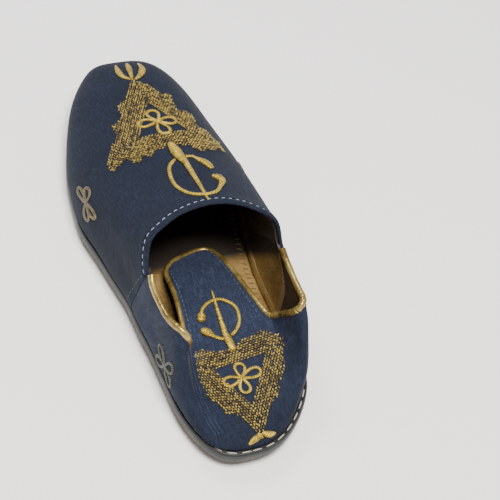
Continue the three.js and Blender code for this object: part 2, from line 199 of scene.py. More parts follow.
@dataclass(frozen=True)
class Last:
    """The form that sole and upper are laid on. Named as in the CAD, in millimetres."""

    length: float = 257.0
    ball_width: float = 92.0
    heel_width: float = 69.5
    toe_spring: float = 7.0
    heel_swing: float = -9.0
    toe_swing: float = 1.5
    outsole_thickness: float = 2.8
    heel_lift: float = 1.0
    cup_floor: float = 2.8
    cup_rim: float = 4.6
    rim_ledge: float = 2.9
    throat_height: float = 56.5
    wall: float = 1.8
    tab_reach: float = 64.0
    tab_end_width: float = 27.0
    tab_skew: float = -2.6
    tab_lift: float = 5.5
    tab_round: float = 7.0
    clearance: float = 0.3
    bluntness: float = 0.75
    tab_turn: float = 0.13
    outer_sag: float = 3.4  # the soft topline dips between the throat's corner and the heel
    inner_sag: float = 1.3
    outer_bow: float = 1.4
    outer_overhang: float = 2.5
    inner_overhang: float = 1.2
    tab_waist: float = 1.6  # the tab's inner edge is drawn in
    tab_slant: float = 3.6  # the tab's end reaches further on the inner side
    vamp_turn: float = 0.41

    # along the sole: share of the length, half width on the outer and on the inner side
    sole_rows: tuple[tuple[float, float, float], ...] = (
        (0.0, 1.308, 1.318), (0.1, 1.297, 1.375), (0.2, 1.221, 1.205), (0.3, 1.163, 1.028), (0.4, 1.043, 0.902),
        (0.5, 1.023, 0.872), (0.6, 1.075, 0.956), (0.7, 1.081, 0.993), (0.8, 1.038, 0.997), (0.9, 0.983, 1.040),
        (1.0, 0.844, 1.103),
    )  # fmt: skip

    # round the collar: turn, across, shift, along, lean, up, slope, pull, rise, bulge
    collar_rows: tuple[tuple[float, ...], ...] = (
        (0.0, 0.0, -0.012, 0.1952, 0.0, 0.222, 0, 0.4, 0.1, 0.0),
        (0.07, 0.255, -0.012, 0.2002, 0.0062, 0.232, 2, 0.4, 0.11, 0.0),
        (0.13, 0.48, -0.012, 0.2332, 0.0137, 0.272, 6, 0.38, 0.16, 0.01),
        (0.18, 0.548, -0.012, 0.2112, 0.0137, 0.432, 24, 0.35, 0.26, 0.02),
        (0.215, 0.61, -0.012, 0.1892, 0.0075, 0.622, 50, 0.32, 0.3, 0.031),
        (0.25, 0.712, -0.012, 0.2012, 0.0, 0.71, 76, 0.3, 0.26, 0.06),
        (0.33, 0.735, -0.012, 0.2623, 0.0, 0.679, 82, 0.3, 0.2, 0.06),
        (0.41, 0.757, -0.012, 0.3423, 0.0, 0.683, 72, 0.34, 0.2, 0.06),
        (0.5, 0.694, 0.012, 0.3814, -0.0063, 0.85, 44, 0.4, 0.348, 0.02),
        (0.6, 0.515, 0.03, 0.4004, -0.0056, 0.93, 30, 0.42, 0.364, 0.01),
        (0.7, 0.322, 0.03, 0.4146, -0.0028, 0.972, 26.9, 0.389, 0.364, 0.0),
        (0.85, 0.143, 0.03, 0.4201, -0.0007, 0.995, 22.5, 0.389, 0.363, 0.0),
        (1.0, 0.0, 0.02, 0.4221, 0.0, 1.0, 20.2, 0.389, 0.363, 0.0),
    )

    @staticmethod
    def fold(u: Array) -> tuple[Array, Array]:
        """Distance round from the heel, 0 to 1, and the side: -1 on the outer side, 1 on the inner one."""
        wrapped = (u + 1) % 2 - 1
        return np.abs(wrapped), np.where(wrapped < 0, -1.0, 1.0)

    def _row(self, column: int, turn: Array) -> Array:
        """One column of the collar's table at a turn."""
        table = np.array(self.collar_rows, float)
        return through(table[:, 0], table[:, column], turn)

    def spring(self, y: Array) -> Array:
        """Rise of the toe end: a parabola over the last 30% of the length."""
        return self.toe_spring * np.clip((y / self.length - 0.7) / 0.3, 0, 1) ** 2

    def cup_bottom(self, y: Array) -> Array:
        """Underside of the rubber cup: spring, outsole and the heel's extra layer."""
        lift = self.heel_lift * (1 - ease(0.25, 0.45, y / self.length))
        return self.spring(y) + self.outsole_thickness + lift + self.clearance

    def foot(self, y: Array) -> Array:
        """Where the upper and the insole stand, just over the cup's floor."""
        return self.cup_bottom(y) + self.cup_floor + self.clearance

    def edge(self, u: Array) -> Array:
        """The sole's outline in plan: centre line plus a half width of a blunt oval, sin(pi t)^0.75, times a table.

        Args:
            u: place round the shoe, 0 at the heel, 1 at the toe, positive along the inner side, wrapped at 2.

        Returns:
            Points (x, y).
        """
        turn, side = self.fold(u)
        share = (1 - np.cos(np.pi * turn)) / 2
        rows = np.array(self.sole_rows)
        half = mix(self.heel_width, self.ball_width, ease(0.25, 0.6, share)) / 2
        full = np.where(side > 0, through(rows[:, 0], rows[:, 2], share), through(rows[:, 0], rows[:, 1], share))
        swing = (
            self.toe_swing * np.clip((share - 0.55) / 0.45, 0, 1) ** 2
            + self.heel_swing * np.clip(1 - share / 0.3, 0, 1) ** 2
        )
        across = side * half * full * np.clip(np.sin(np.pi * turn), 0, 1) ** self.bluntness
        return np.stack([swing + across, self.length * share], axis=-1)

    def outline(self, u: Array, inset: Array) -> Array:
        """The outline drawn in by an inset along its own normal, taken from a short chord.

        Args:
            u: place round the shoe.
            inset: distance inwards, which broadcasts against u.

        Returns:
            Points (x, y).
        """
        step = 0.004
        run = unit(self.edge(u + step) - self.edge(u - step))
        normal = np.stack([-run[..., 1], run[..., 0]], axis=-1)
        return self.edge(u) + normal * np.asarray(inset)[..., None]

    def collar(self, u: Array) -> Array:
        """The collar's edge: a symmetric table of across, along and up, shifted and leaned to one side.

        Args:
            u: place round the shoe.

        Returns:
            Points (x, y, z).
        """
        turn, side = self.fold(u)
        x = (side * self._row(1, turn) + self._row(2, turn)) * self.ball_width / 2
        y = (self._row(3, turn) + side * self._row(4, turn)) * self.length
        z = self.foot(self.length * 0.3) + self._row(5, turn) * self.throat_height
        sag = ease(0.235, 0.31, turn) * (1 - ease(0.385, 0.412, turn))
        outer = side < 0
        x = x - np.where(outer, self.outer_bow, 0.0) * sag
        z = z - np.where(outer, self.outer_sag, self.inner_sag) * sag
        return np.stack([x, y, z], axis=-1)

    def overhang(self, u: Array, w: Array) -> Array:
        """How far the soft wall hangs out over the rim, most on the outer side and not at the heel.

        Args:
            u: place round the shoe.
            w: level up the wall.

        Returns:
            The overhang in millimetres.
        """
        turn, side = self.fold(u)
        most = np.where(side < 0, self.outer_overhang, self.inner_overhang)
        start = np.where(side < 0, ease(0.03, 0.12, turn), ease(0.16, 0.26, turn))
        return most * start * (1 - ease(0.9, 1.0, turn)) * ease(0, 0.045, w) * (1 - ease(0.06, 0.5, w))

    def _bezier(self, u: Array) -> tuple[Array, Array, Array, Array]:
        """Control points of the wall's section, which leaves the rim upright and meets the collar at its slope.

        Args:
            u: place round the shoe.

        Returns:
            The four control points, each of shape (..., 3).
        """
        turn, _ = self.fold(u)
        plan = self.outline(u, self.rim_ledge)
        start = np.concatenate([plan, (self.foot(plan[..., 1]) + self.cup_rim + self.clearance)[..., None]], axis=-1)
        end = self.collar(u)
        drawn = self.outline(u, self.rim_ledge + 8) - plan
        heading = unit(end[..., :2] - plan + drawn)
        slope = np.radians(self._row(6, turn))
        reach = self._row(7, turn) * np.linalg.norm(start - end, axis=-1)
        leave = start.copy()
        leave[..., 2] += self._row(8, turn) * self.throat_height
        leave[..., :2] -= unit(drawn) * (self._row(9, turn) * self.ball_width / 2)[..., None]
        arrive = end.copy()
        arrive[..., :2] -= heading * (np.cos(slope) * reach)[..., None]
        arrive[..., 2] -= np.sin(slope) * reach
        return start, leave, arrive, end

    def wall_point(self, u: Array, w: Array) -> Array:
        """The upper's outer face: a cubic Bezier section over w 0 to 1, and an upright foot for w below 0.

        Args:
            u: place round the shoe.
            w: 0 just above the sole's rim, 1 at the collar, -1 at the foot inside the rim.

        Returns:
            Points (x, y, z).
        """
        u, w = np.broadcast_arrays(np.asarray(u, float), np.asarray(w, float))
        start, leave, arrive, end = self._bezier(u)
        t = np.clip(w, 0, 1)[..., None]
        point = (1 - t) ** 3 * start + 3 * (1 - t) ** 2 * t * leave + 3 * (1 - t) * t * t * arrive + t**3 * end
        point[..., 2] += np.minimum(w, 0) * (self.cup_rim + self.clearance)
        out = unit(self.outline(u, 0.0) - self.outline(u, 4.0))
        point[..., :2] += out * self.overhang(u, w)[..., None]
        return point

    def edge_speed(self, u: Array) -> Array:
        """Millimetres per unit of w at the collar: three times the Bezier's last arm."""
        _, _, arrive, end = self._bezier(np.asarray(u, float))
        return 3 * np.linalg.norm(end - arrive, axis=-1)

    def tab_point(self, u: Array, along: Array) -> Array:
        """The tab: lines from the heel panel's edge to a rounded end, bowed up by a sine over the insole.

        Args:
            u: place round the heel, held within the tab's turn.
            along: 0 at the heel panel, 1 at the tab's end.

        Returns:
            Points (x, y, z).
        """
        u, along = np.broadcast_arrays(np.asarray(u, float), np.asarray(along, float))
        side = np.where(u < 0, -1.0, 1.0)
        held = side * np.minimum(np.abs(u), self.tab_turn)
        base, edge, middle = self.collar(held), self.collar(side * self.tab_turn), self.collar(np.zeros_like(u))
        over = (base[..., 0] - middle[..., 0]) / (edge[..., 0] - middle[..., 0])
        rounding = self.tab_round * np.where(side > 0, 0.75, 1.0)
        end_y = middle[..., 1] + self.tab_reach - rounding * (1 - np.sqrt(1 - 0.98 * over**6))
        end_y = end_y + self.tab_slant * (side * over + 0.25)
        half = mix(np.abs(edge[..., 0] - middle[..., 0]), self.tab_end_width / 2, along)
        half = half - np.where(side > 0, self.tab_waist, 0.4) * np.sin(np.pi * along)
        x = middle[..., 0] + side * over * half + self.tab_skew * along
        bow = self.tab_lift * (np.sin(np.pi * along**1.2) - 0.35 * along**2)
        z = mix(base[..., 2], middle[..., 2], ease(0, 0.5, along)) + bow
        return np.stack([x, mix(base[..., 1], end_y, along), z], axis=-1)

    def skin(self, u: Array, w: Array) -> Array:
        """Wall for w up to 1, then the tab for w from 1 to 2.

        Args:
            u: place round the shoe.
            w: -1 to 1 on the wall, 1 to 2 on the tab.

        Returns:
            Points (x, y, z).
        """
        u, w = np.broadcast_arrays(np.asarray(u, float), np.asarray(w, float))
        over = (w > 1)[..., None]
        return np.where(over, self.tab_point(u, np.clip(w - 1, 0, 1)), self.wall_point(u, np.minimum(w, 1)))

    def skin_normal(self, u: Array, w: Array) -> Array:
        """Outward normal of the skin: the cross product of its two short chords.

        Args:
            u: place round the shoe.
            w: level, as for skin.

        Returns:
            Unit vectors.
        """
        du, dw = 2e-3, 4e-3
        w = np.asarray(w, float)
        half = np.full_like(w, 0.6 * self.tab_turn)
        across = self.skin(u + du, w) - self.skin(u - du, w)
        across = np.where(w[..., None] > 1, self.skin(half, w) - self.skin(-half, w), across)
        along = self.skin(u, np.where(w + dw > 2, 2.0, w + dw)) - self.skin(u, w - dw)
        return unit(np.cross(across, along))

    def lift(self, plan: Array, reach: tuple[float, float, float, float], rise: float) -> tuple[Array, Array]:
        """Puts plan points on the skin, by Newton's steps on (u, w) from the nearest of a coarse grid.

        Args:
            plan: points (x, y), one row each.
            reach: lowest and highest u, lowest and highest w that may be used.
            rise: distance above the skin, along its normal.

        Returns:
            The points on the skin, and the skin's normals there.
        """
        low_u, high_u, low_w, high_w = reach
        grid_u, grid_w = np.meshgrid(np.linspace(low_u, high_u, 61), np.linspace(low_w, high_w, 61), indexing="ij")
        if high_w > 1:
            grid_u = np.where(grid_w > 1, np.clip(grid_u, -self.tab_turn, self.tab_turn), grid_u)
        coarse = self.skin(grid_u, grid_w)[..., :2].reshape(-1, 2)
        nearest = ((plan[:, None] - coarse) ** 2).sum(axis=-1).argmin(axis=1)
        u, w = grid_u.ravel()[nearest], grid_w.ravel()[nearest]
        du, dw = 1e-4, 1e-4
        for _ in range(8):
            here = self.skin(u, w)[..., :2]
            by_u = (self.skin(u + du, w)[..., :2] - here) / du
            by_w = (here - self.skin(u, w - dw)[..., :2]) / dw
            gap = plan - here
            scale = by_u[:, 0] * by_w[:, 1] - by_u[:, 1] * by_w[:, 0]
            scale = np.where(np.abs(scale) < 1e-3, 1e-3, scale)
            u = u + np.clip((gap[:, 0] * by_w[:, 1] - gap[:, 1] * by_w[:, 0]) / scale, -0.05, 0.05)
            w = w + np.clip((by_u[:, 0] * gap[:, 1] - by_u[:, 1] * gap[:, 0]) / scale, -0.05, 0.05)
            u, w = np.clip(u, low_u, high_u), np.clip(w, low_w, high_w)
        normal = self.skin_normal(u, w)
        return self.skin(u, w) + normal * rise, normal


LAST = Last()


# ---------------------------------------------------------------- meshes


def place() -> Array:
    """Millimetres from the last to the frame: the cup's box in the frame less the outline's own box.

    Returns:
        The shift (x, y, z).
    """
    low = np.array(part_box("cup_sole")[0]) / MM
    plan = LAST.edge(np.linspace(-1, 1, 2001))
    return np.array([low[0] - plan[:, 0].min(), low[1] - plan[:, 1].min(), 0.0])


PLACE = place()


class Slot(Enum):
    """The record's material slots."""

    OUTSOLE = "outsole"
    CUP = "cup_sole"
    INSOLE = "insole"
    UPPER = "upper"
    PIPING = "piping"


def quads(index: Array, wrap: bool = False) -> Array:
    """Faces of a grid of vertex numbers, turned so that rows across columns gives the outward side.

    Args:
        index: vertex numbers, first axis round, second axis up.
        wrap: joins the last row of the first axis to the first.

    Returns:
        Rows of four vertex numbers.
    """
    if wrap:
        index = np.concatenate([index, index[:1]])
    a, b = index[:-1], index[1:]
    return np.stack([a[:, :-1], b[:, :-1], b[:, 1:], a[:, 1:]], axis=-1).reshape(-1, 4)


def sweep(path: Array, up: Array, wide: Array, high: Array, sides: int = 8) -> Body:
    """Carries an oval along paths: point + cos(a) wide across + sin(a) high up, for angles a round the path.

    Args:
        path: points, shape (paths, steps, 3).
        up: direction of the oval's height at each point, same shape.
        wide: half width at each point, shape (paths, steps) or one that broadcasts to it.
        high: half height at each point, the same.
        sides: corners of the oval.

    Returns:
        Vertices, faces with both ends capped, and a UV in millimetres for each vertex.
    """
    count, steps = path.shape[:2]
    run = unit(np.gradient(path, axis=1))
    across = unit(np.cross(run, up))
    above = np.cross(across, run)
    angle = -np.pi / 2 + 2 * np.pi * (np.arange(sides) + 0.5) / sides
    wide = np.broadcast_to(wide, (count, steps))[..., None, None]
    high = np.broadcast_to(high, (count, steps))[..., None, None]
    ring = np.cos(angle)[:, None] * wide * across[:, :, None] + np.sin(angle)[:, None] * high * above[:, :, None]
    points = (path[:, :, None] + ring).reshape(-1, 3)
    index = np.arange(len(points)).reshape(count, steps, sides)
    joined = np.concatenate([index, index[..., :1]], axis=-1)
    a, b = joined[:, :-1], joined[:, 1:]
    around = np.stack([a[..., :-1], b[..., :-1], b[..., 1:], a[..., 1:]], axis=-1).reshape(-1, 4)
    faces = around.tolist() + index[:, 0].tolist() + index[:, -1, ::-1].tolist()
    girth = np.broadcast_to(angle * wide[..., 0], (count, steps, sides))
    along = np.broadcast_to(arc_length(path)[..., None], (count, steps, sides))
    return points, faces, np.stack([along, girth], axis=-1).reshape(-1, 2)


def shell(loops: Array) -> tuple[Array, list]:
    """A closed sheet from section loops: each loop runs up the outer face, over the edge and down the inner face.

    Args:
        loops: shape (sections, 2k, 3); corner j faces corner 2k-1-j through the sheet.

    Returns:
        Vertices and faces, with the two end sections closed by rungs.
    """
    count, around = loops.shape[:2]
    index = np.arange(count * around).reshape(count, around)
    closed = np.concatenate([index, index[:, :1]], axis=1)
    half = around // 2
    first, facing = index[:, :half], index[:, ::-1][:, :half]
    rungs = np.stack([first[:, :-1], first[:, 1:], facing[:, 1:], facing[:, :-1]], axis=-1)
    faces = np.concatenate([quads(closed), rungs[0], rungs[-1][:, ::-1]])
    return loops.reshape(-1, 3), faces.tolist()


def thickened(points: Array, faces: Array, outer: float, inner: float) -> tuple[Array, list]:
    """Gives a sheet its wall: both faces are offset along the averaged face normals, and its borders are closed.

    Args:
        points: vertices of the sheet.
        faces: rows of four vertex numbers, facing out.
        outer: offset of the outer face.
        inner: offset of the inner face.

    Returns:
        Vertices and faces.
    """
    corner = points[faces]
    cross = np.cross(corner[:, 2] - corner[:, 0], corner[:, 3] - corner[:, 1])
    normal = np.zeros_like(points)
    for k in range(4):
        np.add.at(normal, faces[:, k], cross)
    normal = unit(normal)
    edges = np.concatenate([faces[:, [k, (k + 1) % 4]] for k in range(4)])
    count = len(points)
    code, back = edges[:, 0] * count + edges[:, 1], edges[:, 1] * count + edges[:, 0]
    a, b = edges[~np.isin(code, back)].T
    border = np.stack([b, a, a + count, b + count], axis=-1)
    both = np.concatenate([points + normal * outer, points + normal * inner])
    return both, np.concatenate([faces, faces[:, ::-1] + count, border]).tolist()


def make_piece(
    name: str, body: Body, material: Material, replaces: str = "", sharp: float = CLOTH_SHARP
) -> None:
    """Makes one finished piece at the origin, riding on the body, with its place in its mesh.

    Args:
        name: the piece's name.
        body: its shape on the last, in millimetres, facing out.
        material: its finish.
        replaces: the CAD node that it stands for, if any.
        sharp: angle in degrees past which an edge is drawn sharp.
    """
    points, faces, uv = body
    mesh = bpy.data.meshes.new(name)
    mesh.from_pydata((points + PLACE) * MM, [], faces)
    mesh.polygons.foreach_set("use_smooth", np.ones(len(mesh.polygons), bool))
    mesh.set_sharp_from_angle(angle=math.radians(sharp))
    if uv is not None:
        corner = np.empty(len(mesh.loops), np.int32)
        mesh.loops.foreach_get("vertex_index", corner)
        layer = mesh.uv_layers.new(name="cloth")
        layer.data.foreach_set("uv", (uv[corner] / UV_UNIT).astype(np.float32).ravel())
    mesh.materials.append(material)
    mesh.validate()
    mesh.update()
    piece = bpy.data.objects.new(name, mesh)
    bpy.context.scene.collection.objects.link(piece)
    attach(piece, "root")
    if replaces:
        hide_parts(replaces)
    log.info("%s: %d faces", name, len(mesh.polygons))


@dataclass(frozen=True)
class Stitch:
    """Sizes of a running stitch, in millimetres."""

    length: float
    gap: float
    radius: float  # the thread's half thickness
    sink: float  # how deep its ends go
    arch: float  # how high its middle stands

    def row(self, path: Array, up: Array) -> Body:
        """A row of stitches: each is an oval thread that dives at both ends, sin(pi v)^0.6 high between.

        Args:
            path: points of the stitch line on the surface.
            up: the surface's normals there.

        Returns:
            The stitches' body.
        """
        along = arc_length(path)
        count = max(1, int((along[-1] + self.gap) / (self.length + self.gap)))
        pitch = (along[-1] + self.gap) / count
        share = np.linspace(0, 1, 7)
        places = np.arange(count)[:, None] * pitch + share * (pitch - self.gap)
        centre, normal = at_length(path, along, places), unit(at_length(up, along, places))
        height = mix(-self.sink, self.arch, np.sin(np.pi * share) ** 0.6)
        return sweep(centre + normal * height[:, None], normal, self.radius, self.radius * 0.85, 6)


def merged(parts: list[Body]) -> Body:
    """Joins several bodies into one, with a UV if they have one.

    Args:
        parts: the bodies.

    Returns:
        One body.
    """
    shift, faces = 0, []
    for points, some, _ in parts:
        faces += [[k + shift for k in face] for face in some]
        shift += len(points)
    uv = None if parts[0][2] is None else np.concatenate([part[2] for part in parts])
    return np.concatenate([part[0] for part in parts]), faces, uv


# ---------------------------------------------------------------- finishes

METRE_LINES = 314.16  # scale of a wave texture with lines 1 mm apart on Object coordinates, in metres
UV_LINES = 31.416  # the same on the UV, whose unit is 100 mm


def linear(srgb: int) -> tuple[float, float, float, float]:
    """Turns an sRGB hex colour into linear red, green, blue and alpha."""
    parts = [(srgb >> shift & 255) / 255 for shift in (16, 8, 0)]
    return (*(c / 12.92 if c <= 0.04045 else ((c + 0.055) / 1.055) ** 2.4 for c in parts), 1.0)


def add_node(
    tree: bpy.types.NodeTree, name: str, kind: str, settings: dict | None = None, links: dict | None = None
) -> None:
    """Adds one named node to a tree, and joins it to nodes that are there.

    Args:
        tree: the material's node tree.
        name: what later nodes call it.
        kind: the node's type, without its ShaderNode prefix.
        settings: values by name: a property, a socket, or "stops", a ramp's places and sRGB hex colours.
        links: what drives each input: "node" for a node's first output, "node.Output" or its number for another.
    """
    node = tree.nodes.new("ShaderNode" + kind)
    node.name = name
    for key, value in (settings or {}).items():
        if key == "stops":
            band = node.color_ramp.elements
            while len(band) < len(value):
                band.new(0.5)
            for element, (where, colour) in zip(band, value):
                element.position = where
                element.color = linear(colour)
        elif isinstance(key, str) and key in node.bl_rna.properties.keys():
            setattr(node, key, value)
        else:
            node.inputs[key].default_value = value
    for key, source in (links or {}).items():
        origin, _, output = source.partition(".")
        socket = output if output.isalpha() else int(output or 0)
        tree.links.new(tree.nodes[origin].outputs[socket], node.inputs[key])


@dataclass(frozen=True)
class Finish:
    """What every finish has: a name, and a way to make its material from rows of nodes."""

    name: str

    def make(self, *rows: tuple) -> Material:
        """Makes the material.

        Args:
            rows: name, kind, settings and links of each node, as add_node takes them; one is named surface.

        Returns:
            The new material.
        """
        material = bpy.data.materials.new(self.name)
        material.use_nodes = True
        tree = material.node_tree
        tree.nodes.clear()
        for row in rows:
            add_node(tree, *row)
        add_node(tree, "output", "OutputMaterial", {}, {"Surface": "surface"})
        return material


@dataclass(frozen=True)
class Denim(Finish):
    """Indigo denim, woven 2/1: dark dyed warp over a paler weft, matt, with a steep twill line and slubby yarn."""

    name: str = "indigo_denim"
    dark: int = 0x0D121C
    mid: int = 0x151A28
    light: int = 0x283146
    twill: float = 1.0  # mm; a real line is 0.8 mm, drawn coarser so that it shows
    slub: float = 0.75  # mm, thickness of a yarn, coarser for the same reason
    heel_shade_and_wear: float = 0.0  # how far the heel's end is darkened by painted shade; it also turns on the folds worn pale
    heel_end: tuple[float, float] = (-0.118, -0.062)  # m in the frame, where the painted shade starts and ends
    fold: float = 1.8  # mm between the worn folds
    fold_centre: tuple[float, float] = (46.0, 36.0)  # on the last; the folds are arcs round it
    fold_radius: float = 72.5
    fold_place: tuple[float, float] = (-0.094, 0.023)  # m in the frame, the folds' middle and reach along the shoe

    def _wear(self) -> list[tuple]:
        """Rows that paint shade over the heel's end, darkening it, and wear thin pale arcs where the trodden heel
        folds on its outer side.

        Returns:
            The rows; the last gives the tone with the painted heel shade and the worn folds.
        """
        x, y = ((np.array(self.fold_centre) + PLACE[:2]) * MM).tolist()
        fade = {"From Min": self.heel_end[0], "From Max": self.heel_end[1], "To Min": self.heel_shade_and_wear, "To Max": 0.0}
        rings = {"wave_type": "RINGS", "rings_direction": "Z", "Scale": METRE_LINES / self.fold}
        rings |= {"Distortion": 0.8, "Detail": 1.0, "Detail Scale": 0.3}
        band = {"operation": "COMPARE", 1: self.fold_radius * MM, 2: 1.6 * self.fold * MM}
        heel = {"operation": "COMPARE", 1: self.fold_place[0], 2: self.fold_place[1]}
        times = {"operation": "MULTIPLY"}
        return [
            ("spot", "TexCoord"),
            ("xyz", "SeparateXYZ", {}, {"Vector": "spot.Object"}),
            ("end", "MapRange", fade, {"Value": "xyz.Y"}),
            ("darker", "Math", {"operation": "SUBTRACT"}, {0: "tone", 1: "end"}),
            ("moved", "Mapping", {"Location": (-x, -y, 0), "Scale": (1, 1, 0)}, {"Vector": "spot.Object"}),
            ("rings", "TexWave", rings, {"Vector": "moved"}),
            ("crest", "MapRange", {"From Min": 0.8, "From Max": 1.0, "To Max": 0.9}, {"Value": "rings.Fac"}),
            ("radius", "VectorMath", {"operation": "LENGTH"}, {0: "moved"}),
            ("near", "Math", band, {0: "radius.Value"}),
            ("back", "Math", heel, {0: "xyz.Y"}),
            ("patchy", "TexNoise", {"Scale": 90.0, "Detail": 2.0}, {"Vector": "spot.Object"}),
            ("crest_near", "Math", times, {0: "crest", 1: "near"}),
            ("crest_back", "Math", times, {0: "crest_near", 1: "back"}),
            ("crest_patchy", "Math", times, {0: "crest_back", 1: "patchy.Fac"}),
            ("worn_tone", "Math", {"operation": "ADD"}, {0: "darker", 1: "crest_patchy"}),
        ]

    def material(self) -> Material:
        """Builds twill lines, yarn streaks and worn patches on the cloth's own UV.

        Returns:
            The new material.
        """
        twill = {"Scale": UV_LINES / self.twill, "Distortion": 4.0, "Detail": 3.0, "Detail Scale": 4.0}
        yarns = 100 / self.slub
        matt = {"Roughness": 0.88, "Specular IOR Level": 0.2, "Sheen Weight": 0.03, "Sheen Roughness": 0.4}
        return self.make(
            ("uv", "UVMap", {"uv_map": "cloth"}),
            ("turned", "Mapping", {"Rotation": (0, 0, math.radians(58))}, {"Vector": "uv"}),
            ("line", "TexWave", twill, {"Vector": "turned"}),
            ("stretched", "Mapping", {"Scale": (1.0, 0.14, 1.0)}, {"Vector": "uv"}),
            ("warp", "TexNoise", {"Scale": yarns, "Detail": 3.0, "Roughness": 0.7}, {"Vector": "stretched"}),
            ("crossed", "Mapping", {"Scale": (0.16, 1.0, 1.0)}, {"Vector": "uv"}),
            ("weft", "TexNoise", {"Scale": yarns, "Detail": 2.0, "Roughness": 0.6}, {"Vector": "crossed"}),
            ("worn", "TexNoise", {"Scale": 4.0, "Detail": 3.0}, {"Vector": "uv"}),
            ("yarn", "Math", {"operation": "MULTIPLY_ADD", 1: 0.2}, {0: "line.Fac", 2: "warp.Fac"}),
            ("both", "Math", {"operation": "MULTIPLY_ADD", 1: 0.5}, {0: "weft.Fac", 2: "yarn"}),
            ("all", "Math", {"operation": "MULTIPLY_ADD", 1: 0.3}, {0: "worn.Fac", 2: "both"}),
            ("tone", "MapRange", {"From Min": 0.5, "From Max": 1.5}, {"Value": "all"}),
            *(self._wear() if self.heel_shade_and_wear else []),
            (
                "colour",
                "ValToRGB",
                {"stops": [(0.0, self.dark), (0.5, self.mid), (1.0, self.light)]},
                {"Fac": "worn_tone" if self.heel_shade_and_wear else "tone"},
            ),
            ("bump", "Bump", {"Strength": 0.55, "Distance": 0.0004}, {"Height": "both"}),
            ("surface", "BsdfPrincipled", matt, {"Base Color": "colour", "Normal": "bump"}),
        )


@dataclass(frozen=True)
class GoldThread(Finish):
    """Metallised viscose thread, laid in satin stitch: it glints along the stitch and is dark between threads, and
    both the glint and the shade between threads are also painted into its colour.
    """

    name: str = "gold_thread"
    dark: int = 0x21180A
    mid: int = 0x655322
    light: int = 0x9C863A
    strand: float = 0.9  # mm between threads; real ones are 0.4 mm, drawn coarser to show
    metal: float = 0.45

    def material(self) -> Material:
        """Builds thread lines across the path, with painted glint along each thread and painted shade between
        threads, and slow changes of tone over the piece.

        Returns:
            The new material.
        """
        lines = {"Scale": UV_LINES / self.strand, "Distortion": 1.0, "Detail": 1.0}
        # dark stop: painted shade between threads; light stop: painted glint along them
        stops = {"stops": [(0.3, self.dark), (0.62, self.mid), (0.95, self.light)]}
        shine = {"Metallic": self.metal, "Roughness": 0.42, "Specular IOR Level": 0.6, "Sheen Weight": 0.05}
        return self.make(
            ("uv", "UVMap", {"uv_map": "cloth"}),
            ("spot", "TexCoord"),
            ("turned", "Mapping", {"Rotation": (0, 0, math.radians(24))}, {"Vector": "uv"}),
            ("line", "TexWave", lines, {"Vector": "turned"}),
            ("mottle", "TexNoise", {"Scale": 420.0, "Detail": 2.0}, {"Vector": "spot.Object"}),
            ("both", "Math", {"operation": "MULTIPLY_ADD", 1: 0.5}, {0: "line.Fac", 2: "mottle.Fac"}),
            ("colour", "ValToRGB", stops, {"Fac": "both"}),
            ("bump", "Bump", {"Strength": 0.6, "Distance": 0.00025}, {"Height": "line.Fac"}),
            ("surface", "BsdfPrincipled", shine, {"Base Color": "colour", "Normal": "bump"}),
        )


@dataclass(frozen=True)
class Leather(Finish):
    """Leather: an even base with a fine pebbled grain, and darker, shinier places where it is worn."""

    name: str = "tan_sheepskin"
    dark: int = 0x533C1C
    mid: int = 0x6F562A
    light: int = 0x856B3C
    grain: float = 1.1  # mm between pores; real ones are 0.5 mm, drawn coarser to show
    rough: float = 0.6
    metal: float = 0.0
    bump: float = 0.35
    patch: float = 25.0  # mm, size of a patch of colour
    soiled: bool = False  # painted shadow: darkened towards the toe, where the vamp's throat shades the insole and the quarters' lining
    # colour of the painted shadow
    shadow_tone: int = 0x1F1813
    shadow_lean: float = 0.876  # the painted shadow's edge leans back by this much per unit of height
    shadow_place: tuple[float, float] = (-0.009, -0.003)  # m in the frame, where the painted shadow starts and is full

    def _painted_shadow(self) -> list[tuple]:
        """Rows that paint the vamp's shadow: they darken the leather past a leaning plane across the shoe.

        Returns:
            The rows; the last mixes in the painted shadow.
        """
        dirt = {"From Min": self.shadow_place[0], "From Max": self.shadow_place[1], "To Max": 0.985}
        return [
            ("along", "VectorMath", {"operation": "DOT_PRODUCT", 1: (0, 1, self.shadow_lean)}, {0: "spot.Object"}),
            ("dirt", "MapRange", dirt, {"Value": "along.Value"}),
            ("soiled", "Mix", {"data_type": "RGBA", 7: linear(self.shadow_tone)}, {0: "dirt", 6: "colour"}),
        ]

    def material(self) -> Material:
        """Builds grain cells and patches of colour on Object coordinates.

        Returns:
            The new material.
        """
        patches = {"Scale": 1000 / self.patch, "Detail": 5.0, "Roughness": 0.6}
        stops = {"stops": [(0.55, self.dark), (0.75, self.mid), (0.95, self.light)]}
        gloss = {"From Min": 0.3, "From Max": 0.7, "To Min": self.rough - 0.08, "To Max": self.rough + 0.1}
        # the base colour, with the painted shadow mixed in when it is turned on
        shade = "soiled.2" if self.soiled else "colour"
        return self.make(
            ("spot", "TexCoord"),
            ("pores", "TexVoronoi", {"Scale": 1000 / self.grain, "Randomness": 1.0}, {"Vector": "spot.Object"}),
            ("patches", "TexNoise", patches, {"Vector": "spot.Object"}),
            ("fine", "TexNoise", {"Scale": 400 / self.grain, "Detail": 3.0}, {"Vector": "spot.Object"}),
            ("pored", "Math", {"operation": "MULTIPLY_ADD", 1: 0.25}, {0: "pores.Distance", 2: "patches.Fac"}),
            ("tone", "Math", {"operation": "MULTIPLY_ADD", 1: 0.3}, {0: "fine.Fac", 2: "pored"}),
            ("colour", "ValToRGB", stops, {"Fac": "tone"}),
            *(self._painted_shadow() if self.soiled else []),
            ("relief", "Math", {"operation": "MULTIPLY_ADD", 1: 0.6}, {0: "fine.Fac", 2: "pores.Distance"}),
            ("bump", "Bump", {"Strength": self.bump, "Distance": 0.0003}, {"Height": "relief"}),
            ("gloss", "MapRange", gloss, {"Value": "patches.Fac"}),
            (
                "surface",
                "BsdfPrincipled",
                {"Metallic": self.metal, "Specular IOR Level": 0.45},
                {"Base Color": shade, "Roughness": "gloss", "Normal": "bump"},
            ),
        )


